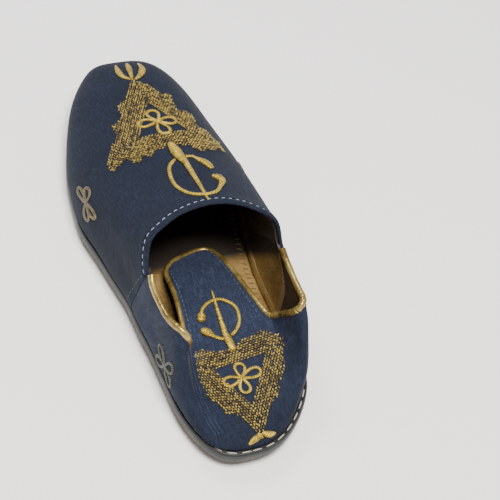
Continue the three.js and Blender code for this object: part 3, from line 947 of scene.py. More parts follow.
@dataclass(frozen=True)
class Rubber(Finish):
    """Moulded rubber: one dark tone with fine dust and scuffs, a soft broad shine and a slight mould texture."""

    name: str = "moulded_grey_rubber"
    dark: int = 0x121415
    mid: int = 0x191C1C
    light: int = 0x333635
    rough: float = 0.5

    def material(self) -> Material:
        """Builds scuffs and a fine mould texture on Object coordinates.

        Returns:
            The new material.
        """
        stops = {"stops": [(0.35, self.dark), (0.52, self.mid), (0.75, self.light)]}
        gloss = {"From Min": 0.3, "From Max": 0.7, "To Min": self.rough - 0.1, "To Max": self.rough + 0.15}
        driven = {"Base Color": "colour", "Roughness": "gloss", "Normal": "bump"}
        return self.make(
            ("spot", "TexCoord"),
            ("scuff", "TexNoise", {"Scale": 90.0, "Detail": 6.0, "Roughness": 0.65}, {"Vector": "spot.Object"}),
            ("fine", "TexNoise", {"Scale": 900.0, "Detail": 2.0}, {"Vector": "spot.Object"}),
            ("colour", "ValToRGB", stops, {"Fac": "scuff.Fac"}),
            ("gloss", "MapRange", gloss, {"Value": "scuff.Fac"}),
            ("bump", "Bump", {"Strength": 0.2, "Distance": 0.0002}, {"Height": "fine.Fac"}),
            ("surface", "BsdfPrincipled", {"Specular IOR Level": 0.5}, driven),
        )


@dataclass(frozen=True)
class Thread(Finish):
    """Waxed polyester sewing thread: off-white, two plies twisted, a dull shine."""

    name: str = "white_waxed_thread"
    dark: int = 0x7F7B70
    light: int = 0xBDB9AD

    def material(self) -> Material:
        """Builds the twist as slanting bands along the thread.

        Returns:
            The new material.
        """
        return self.make(
            ("uv", "UVMap", {"uv_map": "cloth"}),
            ("turned", "Mapping", {"Rotation": (0, 0, math.radians(35))}, {"Vector": "uv"}),
            ("twist", "TexWave", {"Scale": 40.0, "Distortion": 0.5}, {"Vector": "turned"}),
            ("colour", "ValToRGB", {"stops": [(0.1, self.dark), (0.6, self.light)]}, {"Fac": "twist.Fac"}),
            ("bump", "Bump", {"Strength": 0.4, "Distance": 0.0001}, {"Height": "twist.Fac"}),
            ("surface", "BsdfPrincipled", {"Roughness": 0.55}, {"Base Color": "colour", "Normal": "bump"}),
        )


# ---------------------------------------------------------------- sole


@dataclass
class Sole:
    """Rubber cup with a stitched rim, tan outsole under it, and the leather insole inside."""

    tuck: float = 1.6
    groove_place: float = 1.75  # inset of the stitch groove in the rim's top
    groove_depth: float = 0.55
    groove_width: float = 0.55
    stitch: Stitch = Stitch(5.2, 1.9, 0.34, 0.35, 0.45)
    whip_pitch: float = 3.4  # of the insole's whip stitches
    whip_ends: tuple[float, float] = (1.9, 4.4)  # from the insole's foot
    insole_thickness: float = 3.2
    heel_pad: float = 0.8
    insole_edge: float = 0.9
    insole_inset: float = LAST.rim_ledge + LAST.wall + LAST.clearance
    steps_round: int = 360

    def _ring_body(self, rings: Array) -> tuple[Array, list]:
        """Closes a stack of rings: walls between them, and rungs from side to side over the first and the last.

        Args:
            rings: shape (rings, steps round, 3), from the underside over the edge to the inside.

        Returns:
            Vertices and faces.
        """
        levels, count = rings.shape[:2]
        index = np.arange(levels * count).reshape(levels, count)
        walls = quads(index.T, wrap=True)
        near = np.arange(count // 2)
        corners = np.stack([near, near + 1, count - near - 1, (count - near) % count], axis=-1)
        first, last = index[0][corners][:, ::-1], index[-1][corners]
        faces = [list(dict.fromkeys(face)) for face in np.concatenate([first, last]).tolist()]
        return rings.reshape(-1, 3), walls.tolist() + faces

    def _rings(self, profile: Array) -> Array:
        """Carries a profile of (inset, height above the cup's bottom) round the outline.

        Args:
            profile: rows of inset and height.

        Returns:
            Points, shape (rows, steps round, 3).
        """
        u = np.linspace(0, 2, self.steps_round, endpoint=False)
        plan = LAST.outline(u[None], np.broadcast_to(profile[:, :1], (len(profile), len(u))))
        height = LAST.cup_bottom(plan[..., 1]) + profile[:, 1:]
        return np.concatenate([plan, height[..., None]], axis=-1)

    def cup_profile(self) -> Array:
        """Section of the cup: tucked foot, full side, rounded shoulder, a rim with a bell-shaped groove, pocket.

        Returns:
            Rows of inset and height.
        """
        side = np.array([
            (self.tuck + 0.5, 0.0), (self.tuck, 0.12), (1.15, 0.7), (0.72, 1.35), (0.62, 1.5), (0.74, 1.62),
            (0.5, 1.8), (0.25, 2.4), (0.05, 3.1), (0.0, 3.8), (0.0, 4.8), (0.04, 5.6), (0.14, 6.3), (0.34, 6.85),
            (0.6, 7.2),
        ])  # fmt: skip
        inset = np.linspace(0.85, 2.35, 13)
        dip = self.groove_depth * bell(inset, self.groove_place, 0.5 * self.groove_width)
        top = np.stack([inset, LAST.cup_floor + LAST.cup_rim - dip], axis=-1)
        pocket = np.array([(2.55, 7.3), (2.6, 7.1), (2.6, 5.0), (2.6, LAST.cup_floor)])
        return np.concatenate([side, top, pocket])

    def build_cup(self, rubber: Material) -> None:
        """Makes the cup in place of its CAD node."""
        body = (*self._ring_body(self._rings(self.cup_profile())), None)
        make_piece("rubber_cup", body, rubber, "cup_sole", RUBBER_SHARP)

    def build_rim_stitches(self, thread: Material) -> None:
        """Sews the cup to the upper with long stitches that lie in the rim's groove.

        Args:
            thread: the stitches' finish.
        """
        u = np.linspace(0, 2, 1600)
        plan = LAST.outline(u, self.groove_place)
        top = LAST.cup_bottom(plan[:, 1]) + LAST.cup_floor + LAST.cup_rim - self.groove_depth
        path = np.concatenate([plan, top[:, None]], axis=-1)
        up = np.broadcast_to(UP, path.shape)
        make_piece("rim_stitches", self.stitch.row(path, up), thread)

    def insole_top(self, plan: Array) -> Array:
        """Height of the insole: foot plus thickness, the heel pad's slanting step, and slow dents of wear.

        Args:
            plan: points (x, y).

        Returns:
            Heights.
        """
        x, y = plan[..., 0], plan[..., 1]
        front = (y + 0.30 * x) / LAST.length
        pad = self.heel_pad * (1 - ease(0.418, 0.428, front))
        dents = 0.25 * np.sin(x / 11 + 1.2) * np.sin(y / 17) + 0.12 * np.sin(x / 5 + y / 7)
        return LAST.foot(y) + self.insole_thickness + pad + dents * ease(0.05, 0.15, y / LAST.length)

    def build_insole(self, leather: Material) -> None:
        """Makes the insole: a grid from side to side at each place along, so that its top can have a form.

        Args:
            leather: the sock's finish.
        """
        inset = self.insole_inset
        u = np.linspace(0.002, 0.998, 260)
        s = np.linspace(0, 1, 61)[:, None]
        rim = LAST.outline(u, inset + self.insole_edge)
        far = LAST.outline(-u, inset + self.insole_edge)
        plan = far[:, None] * (1 - s) + rim[:, None] * s
        top = np.concatenate([plan, self.insole_top(plan)[..., None]], axis=-1)
        around = np.concatenate([top[:, -1], top[::-1, 0]])
        wall_u = np.concatenate([u, -u[::-1]])
        base_plan = LAST.outline(wall_u, inset)
        edge = np.concatenate([base_plan, (around[:, 2] - self.insole_edge)[:, None]], axis=-1)
        base = np.concatenate([base_plan, LAST.foot(base_plan[:, 1])[:, None]], axis=-1)
        count, wide = top.shape[:2]
        grid = np.arange(count * wide).reshape(count, wide)
        ring = np.concatenate([grid[:, -1], grid[::-1, 0]])
        edge_ring = count * wide + np.arange(len(ring))
        base_ring = edge_ring + len(ring)
        walls = quads(np.stack([base_ring, edge_ring, ring], axis=-1), wrap=True)
        near = np.arange(count - 1)
        under = np.stack([near, len(ring) - 1 - near, len(ring) - 2 - near, near + 1], axis=-1)
        surface = quads(grid.T)
        points = np.concatenate([top.reshape(-1, 3), edge, base])
        faces = surface.tolist() + walls.tolist() + base_ring[under].tolist()
        faces += [grid[0, ::-1].tolist(), grid[-1].tolist()]
        make_piece("insole_sock", (points, faces, None), leather, "insole", RUBBER_SHARP)

    def build_insole_stitches(self, thread: Material) -> None:
        """Whips the insole's edge with short threads that lie across it.

        Args:
            thread: the stitches' finish.
        """
        inset = self.insole_inset
        u = np.linspace(0.02, 1.98, 3000)
        path = LAST.outline(u, inset + 3.0)
        along = arc_length(path)
        places = np.interp(np.arange(2.0, along[-1] - 2, self.whip_pitch), along, u)
        near, far = self.whip_ends
        inner, outer = LAST.outline(places + 0.002, inset + far), LAST.outline(places, inset + near)
        share = np.linspace(0, 1, 5)
        plan = mix(outer[:, None], inner[:, None], share[:, None])
        top = self.insole_top(plan) + mix(-0.2, 0.32, np.sin(np.pi * share) ** 0.6)
        path = np.concatenate([plan, top[..., None]], axis=-1)
        up = np.broadcast_to(UP, path.shape)
        make_piece("insole_stitches", sweep(path, up, 0.33, 0.28, 6), thread)

    def dress_outsole(self, rubber: Material) -> None:
        """Gives the CAD's own outsole its rubber.

        Args:
            rubber: the outsole's finish.
        """
        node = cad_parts["outsole"]
        node.data.materials.clear()
        node.data.materials.append(rubber)
        log.info("outsole: %d faces", len(node.data.polygons))


# ---------------------------------------------------------------- upper


@dataclass
class Upper:
    """Denim vamp and heel piece over a leather lining, with the trodden heel's tab lying forward over the insole."""

    vamp_step: float = 0.7
    denim: float = 1.0
    hem_stitch: float = 4.0  # from the edge
    hem_bells: tuple[tuple[float, float, float], ...] = ((0.3, 2.0, 1.5), (-0.4, 4.0, 0.55))  # height, place, width
    hem_ply: float = 0.22  # the turned ply lifts the cloth between two slopes, given from the edge
    hem_slopes: tuple[tuple[float, float], ...] = ((8.0, 6.2), (3.4, 2.0))
    # rows near the throat's edge, given by their distance from it
    hem_rows: tuple[float, ...] = (7.5, 6.6, 6.0, 5.4, 4.9, 4.5, 4.2, 4.0, 3.8, 3.5, 3.0, 2.4, 1.9, 1.5, 1.2, 1.0)
    columns: int = 190
    rows: int = 56
    tab_rows: int = 44
    heel_turn: float = 0.432  # the heel piece runs on under the vamp
    seam_inset: float = 0.012  # of the side seam's stitches, in u
    throat_stitch: Stitch = Stitch(2.1, 1.4, 0.2, 0.2, 0.15)
    seam_stitch: Stitch = Stitch(2.2, 1.2, 0.2, 0.25, 0.1)
    tab_stitch: Stitch = Stitch(1.7, 1.1, 0.24, 0.25, 0.15)
    tab_stitch_turn: float = 0.86  # share of the tab's half width
    quarter_ply: float = 0.5  # thickness of the quarters' tan lining
    lining_gap: float = 0.05
    crease: float = 0.2  # height of the heel's folds

    def _flat(self, points: Array) -> Array:
        """Unrolls wall sections into the plan: each step keeps its true length, in its own plan direction.

        Args:
            points: shape (columns, rows, 3), from the foot to the collar.

        Returns:
            UV in millimetres, shape (columns, rows, 2).
        """
        steps = np.diff(points, axis=1)
        length = np.linalg.norm(steps, axis=-1, keepdims=True)
        trend = unit(points[:, -1:, :2] - points[:, :1, :2])
        way = unit(steps[..., :2] + 0.3 * length * trend)
        back = np.cumsum((way * length)[:, ::-1], axis=1)[:, ::-1]
        flat = points[:, -1:, :2] - back
        return np.concatenate([flat, points[:, -1:, :2]], axis=1)

    def _rows_from_edge(self, u: Array, lengths: Array, count: int) -> Array:
        """Levels w for each column: even ones up the wall, then given distances from the collar's edge.

        Args:
            u: columns.
            lengths: distances from the edge in millimetres, falling to 0.
            count: number of even rows.

        Returns:
            Levels, shape (columns, rows).
        """
        near = 1 - lengths / LAST.edge_speed(u)[:, None]
        even = np.linspace(0, 1, count) * (near[:, :1] - 0.02)
        foot = np.broadcast_to(np.array([-1.0, -0.5]), (len(u), 2))
        return np.concatenate([foot, even, near], axis=1)

    def _step(self, u: Array) -> Array:
        """How far the vamp stands over the heel piece: it thins out towards the side seams."""
        return mix(0.28, self.vamp_step, ease(0, 0.06, LAST.fold(u)[0] - LAST.vamp_turn))

    def build_vamp(self, cloth: Material) -> None:
        """Makes the vamp: its section runs up the outside, over a folded hem at the throat and down the inside.

        Args:
            cloth: the vamp's finish.
        """
        u = np.linspace(LAST.vamp_turn, 2 - LAST.vamp_turn, self.columns)
        w = self._rows_from_edge(u, np.array(self.hem_rows), self.rows)
        base = LAST.wall_point(u[:, None], w)
        normal = LAST.skin_normal(u[:, None], w)
        from_edge = (1 - w) * LAST.edge_speed(u)[:, None]
        stitched, lip = (ease(*slope, from_edge) for slope in self.hem_slopes)
        fold = sum(height * bell(from_edge, *place) for height, *place in self.hem_bells)
        fold += self.hem_ply * stitched - self.hem_ply * lip
        ripple = 0.10 * np.sin(u[:, None] * 190) * bell(from_edge, 4.6, 2.2)
        rise = self._step(u)[:, None] * ease(0, 0.06, w) + fold * ease(0.2, 0.5, w) + ripple
        outer = base + normal * rise[..., None]
        top = self._step(u)[:, None, None] - 0.05
        middle, half = (top - self.denim) / 2, (top + self.denim) / 2
        turn = np.linspace(0, np.pi, 10)[1:-1]
        edge_w = 1 - self.hem_rows[-1] / LAST.edge_speed(u)[:, None]
        edge_base, edge_normal = LAST.wall_point(u[:, None], edge_w), LAST.skin_normal(u[:, None], edge_w)
        out = unit(LAST.wall_point(u[:, None], np.ones((len(u), 1))) - edge_base)
        cap = edge_base + edge_normal * (middle + half * np.cos(turn)[:, None]) + out * np.sin(turn)[:, None]
        inner = (base - normal * self.denim)[:, ::-1]
        points, faces = shell(np.concatenate([outer, cap, inner], axis=1))
        flat = self._flat(base)
        edge_uv = flat[:, -1:] + out[..., :2] * np.sin(turn)[:, None]
        uv = np.concatenate([flat, edge_uv, flat[:, ::-1]], axis=1).reshape(-1, 2)
        make_piece("vamp", (points, faces, uv), cloth, "upper")

    def _rounded(self, u: Array, w: Array, wall: Array) -> Array:
        """Rounds the fold that runs down from the tab's outer corner: a bell-shaped average over the columns.

        Args:
            u: the columns' places.
            w: the rows' levels, shape (1, rows).
            wall: points of the wall, shape (columns, rows, 3).

        Returns:
            The points, moved only near the fold and below the collar's edge.
        """
        soft = smoothed(wall.reshape(len(u), -1), 4).reshape(wall.shape)
        near = ease(0.1, 0.13, -u) * (1 - ease(0.2, 0.25, -u))
        share = near[:, None] * ease(0.1, 0.35, w) * (1 - ease(0.88, 0.99, w))
        return wall + (soft - wall) * share[..., None]

    def _heel_sheet(self) -> tuple[Array, Array, Array]:
        """The quarters, heel panel and tab as one sheet: points, faces and UV.

        Returns:
            Points, faces and UV.
        """
        side, tab = self.heel_turn, LAST.tab_turn
        left, right = np.linspace(-side, -tab, 60)[:-1], np.linspace(tab, side, 60)[1:]
        u = np.concatenate([left, np.linspace(-tab, tab, 49), right])
        w = np.concatenate([[-1.0, -0.5], np.linspace(0, 1, self.rows)])[None]
        short = np.where(np.abs(u) > LAST.vamp_turn + 0.002, 0.965, 1.0)[:, None]
        wall = self._rounded(u, w, LAST.wall_point(u[:, None], np.where(w > 0, w * short, w)))
        on_tab = np.where(np.abs(u) <= tab + 1e-9)[0]
        share = np.linspace(0, 1, self.tab_rows + 1)[1:]
        strip = LAST.tab_point(u[on_tab][:, None], share[None])
        wall_index = np.arange(wall.shape[0] * wall.shape[1]).reshape(wall.shape[:2])
        own = wall_index.size + np.arange(strip.shape[0] * strip.shape[1]).reshape(strip.shape[:2])
        tab_index = np.concatenate([wall_index[on_tab][:, -1:], own], axis=1)
        points = np.concatenate([wall.reshape(-1, 3), strip.reshape(-1, 3)])
        uv = np.concatenate([self._flat(wall).reshape(-1, 2), strip[..., :2].reshape(-1, 2)])
        faces = np.concatenate([quads(wall_index), quads(tab_index)])
        return points, faces, uv

    def build_heel(self, cloth: Material, lining: Material) -> None:
        """Makes the heel piece: denim outside, and its leather lining inside and under the tab.

        Args:
            cloth: the denim's finish.
            lining: the lining's finish.
        """
        points, faces, uv = self._heel_sheet()
        edge, softened, *_ = Binding().path()
        shift = softened - edge
        gap = ((points[:, None] - edge[::3]) ** 2).sum(axis=-1)
        least = gap.min(axis=1, keepdims=True)
        weight = np.exp(-(gap - least) / 12)
        pulled = (weight @ shift[::3]) / weight.sum(axis=1, keepdims=True) * np.exp(-least / 36)
        creased = points + self._creases(points) + pulled
        both = np.concatenate([uv, uv])
        make_piece("heel_piece", (*thickened(creased, faces, 0.0, -self.denim), both), cloth, "upper")
        lining_body = (*thickened(creased, faces, -self.denim - self.lining_gap, -LAST.wall), both)
        make_piece("heel_lining", lining_body, lining)

    def _lining_seam(self, level: Array) -> Array:
        """Place u of the seam between the quarter's two linings: upright, then leaning to the front; it lies on the
        edge of the shade on the inner heel wall, which the dark heel lining paints.
        """
        return 0.358 + 0.045 * ease(0.5, 1.0, level)

    def build_quarter_lining(self, leather: Material, thread: Material) -> None:
        """Lines the front of both quarters in tan, up to an upright seam that is whipped to the heel's lining.

        Args:
            leather: the lining's finish.
            thread: the seam's finish.
        """
        level = np.linspace(-0.4, 0.975, 44)
        seam = self._lining_seam(level)
        share = np.linspace(0, 1, 24)
        pieces, stitches = [], []
        # the tan lining's front edge follows the edge of the vamp's shadow; past it the dark vamp lining paints that
        # shade
        front = 0.482 - 0.02 * ease(0.1, 0.5, level) - 0.032 * ease(0.5, 0.97, level)
        for side in (1, -1):
            u = side * mix(seam[None], front[None], share[:, None])[::side]
            w = np.broadcast_to(level, u.shape)
            base, normal = LAST.wall_point(u, w), LAST.skin_normal(u, w)
            outer = base - normal * (LAST.wall + 0.02)
            inner = (base - normal * (LAST.wall + self.quarter_ply))[:, ::-1]
            pieces.append((*shell(np.concatenate([outer, inner], axis=1)), None))
            rungs = np.linspace(0.02, 0.9, 22)
            ends = side * (self._lining_seam(rungs)[:, None] + np.linspace(-0.006, 0.008, 5))
            high = np.broadcast_to(rungs[:, None], ends.shape)
            up = -LAST.skin_normal(ends, high)
            lie = LAST.wall + self.quarter_ply + 0.25 * np.sin(np.pi * np.linspace(0, 1, 5))
            stitches.append(sweep(LAST.wall_point(ends, high) + up * lie[:, None], up, 0.28, 0.25, 6))
        make_piece("quarter_lining", merged(pieces), leather)
        make_piece("lining_stitches", merged(stitches), thread)

    def _creases(self, points: Array) -> Array:
        """Shallow folds where the trodden heel bends: waves that follow the sole's outline, strongest at the bend.

        Args:
            points: points of the sheet, one row each.

        Returns:
            The shift of each point.
        """
        x, y, z = points.T
        near = bell(z, 21, 7) * ease(95, 60, y)
        side = ease(6, 22, np.abs(x + 2))
        wave = np.sin(z * 0.8 + 0.16 * np.abs(x)) + 0.4 * np.sin(z * 1.5 + x * 0.22 + 1.0)
        return np.stack([np.zeros_like(x), np.zeros_like(x), self.crease * near * side * wave], axis=-1)

    def build_vamp_lining(self, lining: Material) -> None:
        """Makes the vamp's lining: a thin sheet under the denim, tucked under the hem.

        Args:
            lining: the lining's finish.
        """
        u = np.linspace(LAST.vamp_turn, 2 - LAST.vamp_turn, 120)
        w = self._rows_from_edge(u, np.array([8.0, 6.0, 4.0]), 36)
        base, normal = LAST.wall_point(u[:, None], w), LAST.skin_normal(u[:, None], w)
        outer = base - normal * (self.denim + self.lining_gap)
        inner = (base - normal * LAST.wall)[:, ::-1]
        make_piece("vamp_lining", (*shell(np.concatenate([outer, inner], axis=1)), None), lining)

    def build_stitches(self, thread: Material, denim_thread: Material) -> None:
        """Sews the throat's hem in pale thread, and the side seams and the tab's edges in navy.

        Args:
            thread: the throat's thread.
            denim_thread: the seams' and the tab's thread.
        """
        start = LAST.vamp_turn + self.seam_inset
        u = np.linspace(start, 2 - start, 1200)
        w = 1 - self.hem_stitch / LAST.edge_speed(u)
        up = LAST.skin_normal(u, w)
        path = LAST.wall_point(u, w) + up * (self._step(u) - 0.1)[:, None]
        make_piece("throat_stitches", self.throat_stitch.row(path, up), thread)
        parts = []
        for side in (1, -1):
            level = np.linspace(0.06, 0.94, 300)
            seam = np.full_like(level, side * (LAST.vamp_turn + self.seam_inset))
            up = LAST.skin_normal(seam, level)
            path = LAST.wall_point(seam, level) + up * self._step(seam)[:, None]
            parts.append(self.seam_stitch.row(path, up))
            share = np.linspace(0.04, 0.94, 300)
            line = np.full_like(share, side * LAST.tab_turn * self.tab_stitch_turn)
            up = LAST.skin_normal(line, 1 + share)
            parts.append(self.tab_stitch.row(LAST.tab_point(line, share), up))
        make_piece("seam_stitches", merged(parts), denim_thread)


@dataclass
class Binding:
    """Gold leather binding rolled over the collar's edge, from one throat corner round the tab to the other."""

    stand_off: float = 1.2
    wide: float = 1.75
    high: float = 1.6
    tab_wide: float = 1.25
    tab_high: float = 1.25
    tab_rise: float = 0.75  # the tab's binding stands proud of the denim
    step: float = 0.55
    soften_reach: int = 7

    def _places(self) -> tuple[Array, Array]:
        """Places (u, w) of the collar's edge in order: inner quarter, round the tab, outer quarter.

        Returns:
            u and w.
        """
        tab, start = LAST.tab_turn, LAST.vamp_turn + 0.004
        quarter, strip = np.linspace(start, tab, 260), np.linspace(0, 1, 200)[1:]
        across = np.linspace(tab, -tab, 120)[1:]
        back = -quarter[::-1][1:]
        u = [quarter, np.full_like(strip, tab), across, np.full_like(strip, -tab), back]
        w = [np.ones_like(quarter), 1 + strip, np.full_like(across, 2.0), 1 + (1 - strip), np.ones_like(back)]
        return np.concatenate(u), np.concatenate(w)

    def path(self) -> tuple[Array, Array, Array, Array]:
        """The collar's edge, evenly spaced, and the same softened: a bell-shaped average, as a stiff binding lies.

        Returns:
            Points of the edge, the softened points, normals, and how much of each point belongs to the tab.
        """
        u, w = self._places()
        points = LAST.skin(u, w)
        normals = LAST.skin_normal(u, np.where(w > 1, w, 0.996))
        along = arc_length(points)
        even = np.linspace(0, along[-1], int(along[-1] / self.step))
        edge = at_length(points, along, even)
        rows = at_length(np.concatenate([normals, ease(1.0, 1.15, w)[:, None]], axis=1), along, even)
        rows = smoothed(rows, 4)
        return edge, smoothed(edge, self.soften_reach), unit(rows[:, :3]), rows[:, 3]

    def build(self, leather: Material) -> None:
        """Makes the binding: an oval carried along the edge, gathered in fine wrinkles where the edge bends.

        Args:
            leather: the binding's finish.
        """
        _, edge, normal, on_tab = self.path()
        run = unit(np.gradient(edge, axis=0))
        away = unit(smoothed(unit(np.cross(run, normal)), 4))
        wide, high = mix(self.wide, self.tab_wide, on_tab), mix(self.high, self.tab_high, on_tab)
        stand = mix(self.stand_off, self.stand_off - 0.2, on_tab)
        centre = edge + normal * (self.tab_rise * on_tab - LAST.wall / 2)[:, None] + away * stand[:, None]
        centre = smoothed(centre, 3)
        along = arc_length(centre)
        bend = np.linalg.norm(np.gradient(unit(np.gradient(centre, axis=0)), axis=0), axis=1) / self.step
        bend = smoothed(np.clip(bend * 9, 0, 1)[:, None], 8)[:, 0] * (1 - ease(0.3, 0.38, along / along[-1]))
        turn = along * 2 * np.pi
        gather = (np.sin(turn / 2.3) + 0.5 * np.sin(turn / 1.45 + 1)) * (0.008 + 0.09 * bend)
        pull = 0.05 * np.sin(turn / 9.5) + 0.03 * np.sin(turn / 5.7 + 2)
        size = 1 + gather + pull * 0.6
        body = sweep(centre[None], normal[None], (wide * size)[None], (high * size)[None], 20)
        make_piece("collar_binding", body, leather, "piping", THREAD_SHARP)


# ---------------------------------------------------------------- embroidery


class Ground(Enum):
    """Which part of the skin a motif is sewn on: lowest and highest u, lowest and highest w."""

    VAMP = (0.42, 1.58, 0.0, 1.0)
    HEEL = (-0.3, 0.3, 0.0, 2.0)


@dataclass
class Motif:
    """One emblem in gold thread: a scalloped triangle of grain stitches round a window, with a flower in it, three
    prongs at its tip, and a ringed pin at its base. Plan coordinates are millimetres on the last."""

    name: str
    ground: Ground
    rise: float
    outline: Line
    window: Line
    cords: tuple[tuple, ...]  # each a line, half widths, height, ripple and pitch, as cord takes them
    flower_centre: tuple[float, float]
    flower_tips: Line
    petal: float  # full width of a petal
    petal_thread: float  # half width of its line
    pitch: float = 1.2
    step: float = 1.7
    grain: float = 0.47
    row_count: int = 28
    seed: int = 7
    steepest: float = 0.45  # grains on a steeper skin, by its normal's height, are left out

    def lift(self, plan: Array) -> tuple[Array, Array]:
        """Puts plan points on the motif's ground."""
        return LAST.lift(plan, self.ground.value, self.rise)

    def _places(self) -> tuple[Array, Array, Array]:
        """Lays rows parallel to each of the window's sides, a pitch apart and shifted by half a step in turn.

        A place belongs to the side from which it lies furthest out.

        Returns:
            Plan points, headings, and how far each grain slants from its heading.
        """
        corners, outline = np.array(self.window), np.array(self.outline)
        ends = np.roll(corners, -1, axis=0)
        way = unit(ends - corners)
        out = np.stack([way[:, 1], -way[:, 0]], axis=-1)
        out *= np.sign(((corners - corners.mean(axis=0)) * out).sum(axis=1))[:, None]
        most = self.row_count
        rows, steps = np.meshgrid(np.arange(most), np.arange(-most, 2 * most), indexing="ij")
        row = rows.ravel()
        along = ((steps + 0.5 * (rows % 2)) * self.step)[..., None]
        away = (rows + 0.55)[..., None] * self.pitch
        kept, headings, slants = [], [], []
        for side in range(3):
            spot = (corners[side] + along * way[side] + away * out[side]).reshape(-1, 2)
            reach = np.stack([((spot - corners[k]) * out[k]).sum(axis=1) for k in range(3)], axis=1)
            good = (reach.argmax(axis=1) == side) & inside(spot, outline)
            kept.append(spot[good])
            headings.append(np.broadcast_to(way[side], (good.sum(), 2)))
            slants.append(np.where(row[good] % 2 == 0, 0.5, -0.35))
        return np.concatenate(kept), np.concatenate(headings), np.concatenate(slants)

    def grains(self) -> Body:
        """Fills the band between the outline and the window with grain stitches: ovals arched over their middle.

        Returns:
            The grains' body.
        """
        spot, heading, slant = self._places()
        random = np.random.default_rng(self.seed)
        slant = slant + random.normal(0, 0.13, len(slant))
        spot = spot + random.normal(0, 0.10, spot.shape)
        cos, sin = np.cos(slant), np.sin(slant)
        ahead, aside = heading.T
        heading = np.stack([ahead * cos - aside * sin, ahead * sin + aside * cos], axis=-1)
        base, normal = self.lift(spot)
        flat = normal[:, 2] > self.steepest
        base, normal, heading = base[flat], normal[flat], heading[flat]
        fall = -(normal[:, :2] * heading).sum(axis=1) / np.maximum(normal[:, 2], 0.25)
        ahead = np.concatenate([heading, fall[:, None]], axis=1)
        share = np.linspace(-1, 1, 5)
        centre = base[:, None] + ahead[:, None] * (share * self.step * 0.56)[:, None]
        centre = centre + normal[:, None] * (0.45 * (1 - share**2))[:, None]
        thick = self.grain * np.sqrt(np.clip(1.04 - share**2, 0, 1)) * random.uniform(0.85, 1.15, (len(base), 1))
        up = np.broadcast_to(normal[:, None], centre.shape)
        points, faces, _ = sweep(centre, up, thick, thick * 0.8, 6)
        tone = np.repeat(random.uniform(0, 60, len(base)), 5 * 6)
        return points, faces, np.stack([tone, tone], axis=-1)

    def cord(self, plan: Line, widths: tuple[float, ...], height: float, ripple: float, pitch: float = 1.1) -> Body:
        """A satin-stitched line: an oval carried along a spline on the skin, whose size ripples with its wraps.

        Args:
            plan: points of the line.
            widths: half widths at even shares of its length.
            height: half height as a share of the half width.
            ripple: how far each wrap swells, as a share.
            pitch: length of a wrap in millimetres.

        Returns:
            The cord's body.
        """
        base, normal = self.lift(spline(np.array(plan, float), 0.3))
        base, normal = smoothed(base, 2), unit(smoothed(normal, 2))
        share = np.linspace(0, 1, len(base))
        half = np.interp(share, np.linspace(0, 1, len(widths)), widths)
        half = half * (1 + ripple * np.sin(arc_length(base) * 2 * np.pi / pitch))
        centre = base + normal * (half * height * 0.55)[:, None]
        return sweep(centre[None], normal[None], half[None], (half * height)[None], 10)

    def flower(self) -> list[Body]:
        """Four looped petals round a knot: each runs out by c = (1 - cos a) / 2 and across by sin(a) c^0.6.

        Returns:
            One body for each petal, and one for the knot.
        """
        turn = 2 * np.pi * np.linspace(0.02, 0.98, 40)[:, None]
        out = (1 - np.cos(turn)) / 2
        middle = np.array(self.flower_centre)
        parts = []
        for tip in self.flower_tips:
            reach = np.array(tip) - middle
            side = unit(np.array([-reach[1], reach[0]]))
            loop = middle + reach * out + side * self.petal * 0.62 * np.sin(turn) * out**0.6
            parts.append(self.cord(loop, (self.petal_thread,) * 3, 0.75, 0.10, 0.9))
        knot = middle + np.array([(0, -1.2), (0, 0), (0, 1.2)])
        return [*parts, self.cord(knot, (0.5, 1.5, 0.5), 0.6, 0.0)]

    def build(self, thread: Material, satin: Material) -> None:
        """Sews the emblem: its grains in one thread, its cords and its flower in the other.

        Args:
            thread: the grains' finish.
            satin: the cords' finish.
        """
        make_piece(f"{self.name}_grain_stitches", self.grains(), thread, sharp=THREAD_SHARP)
        body = merged([self.cord(*row) for row in self.cords] + self.flower())
        make_piece(f"{self.name}_satin_stitches", body, satin, sharp=THREAD_SHARP)


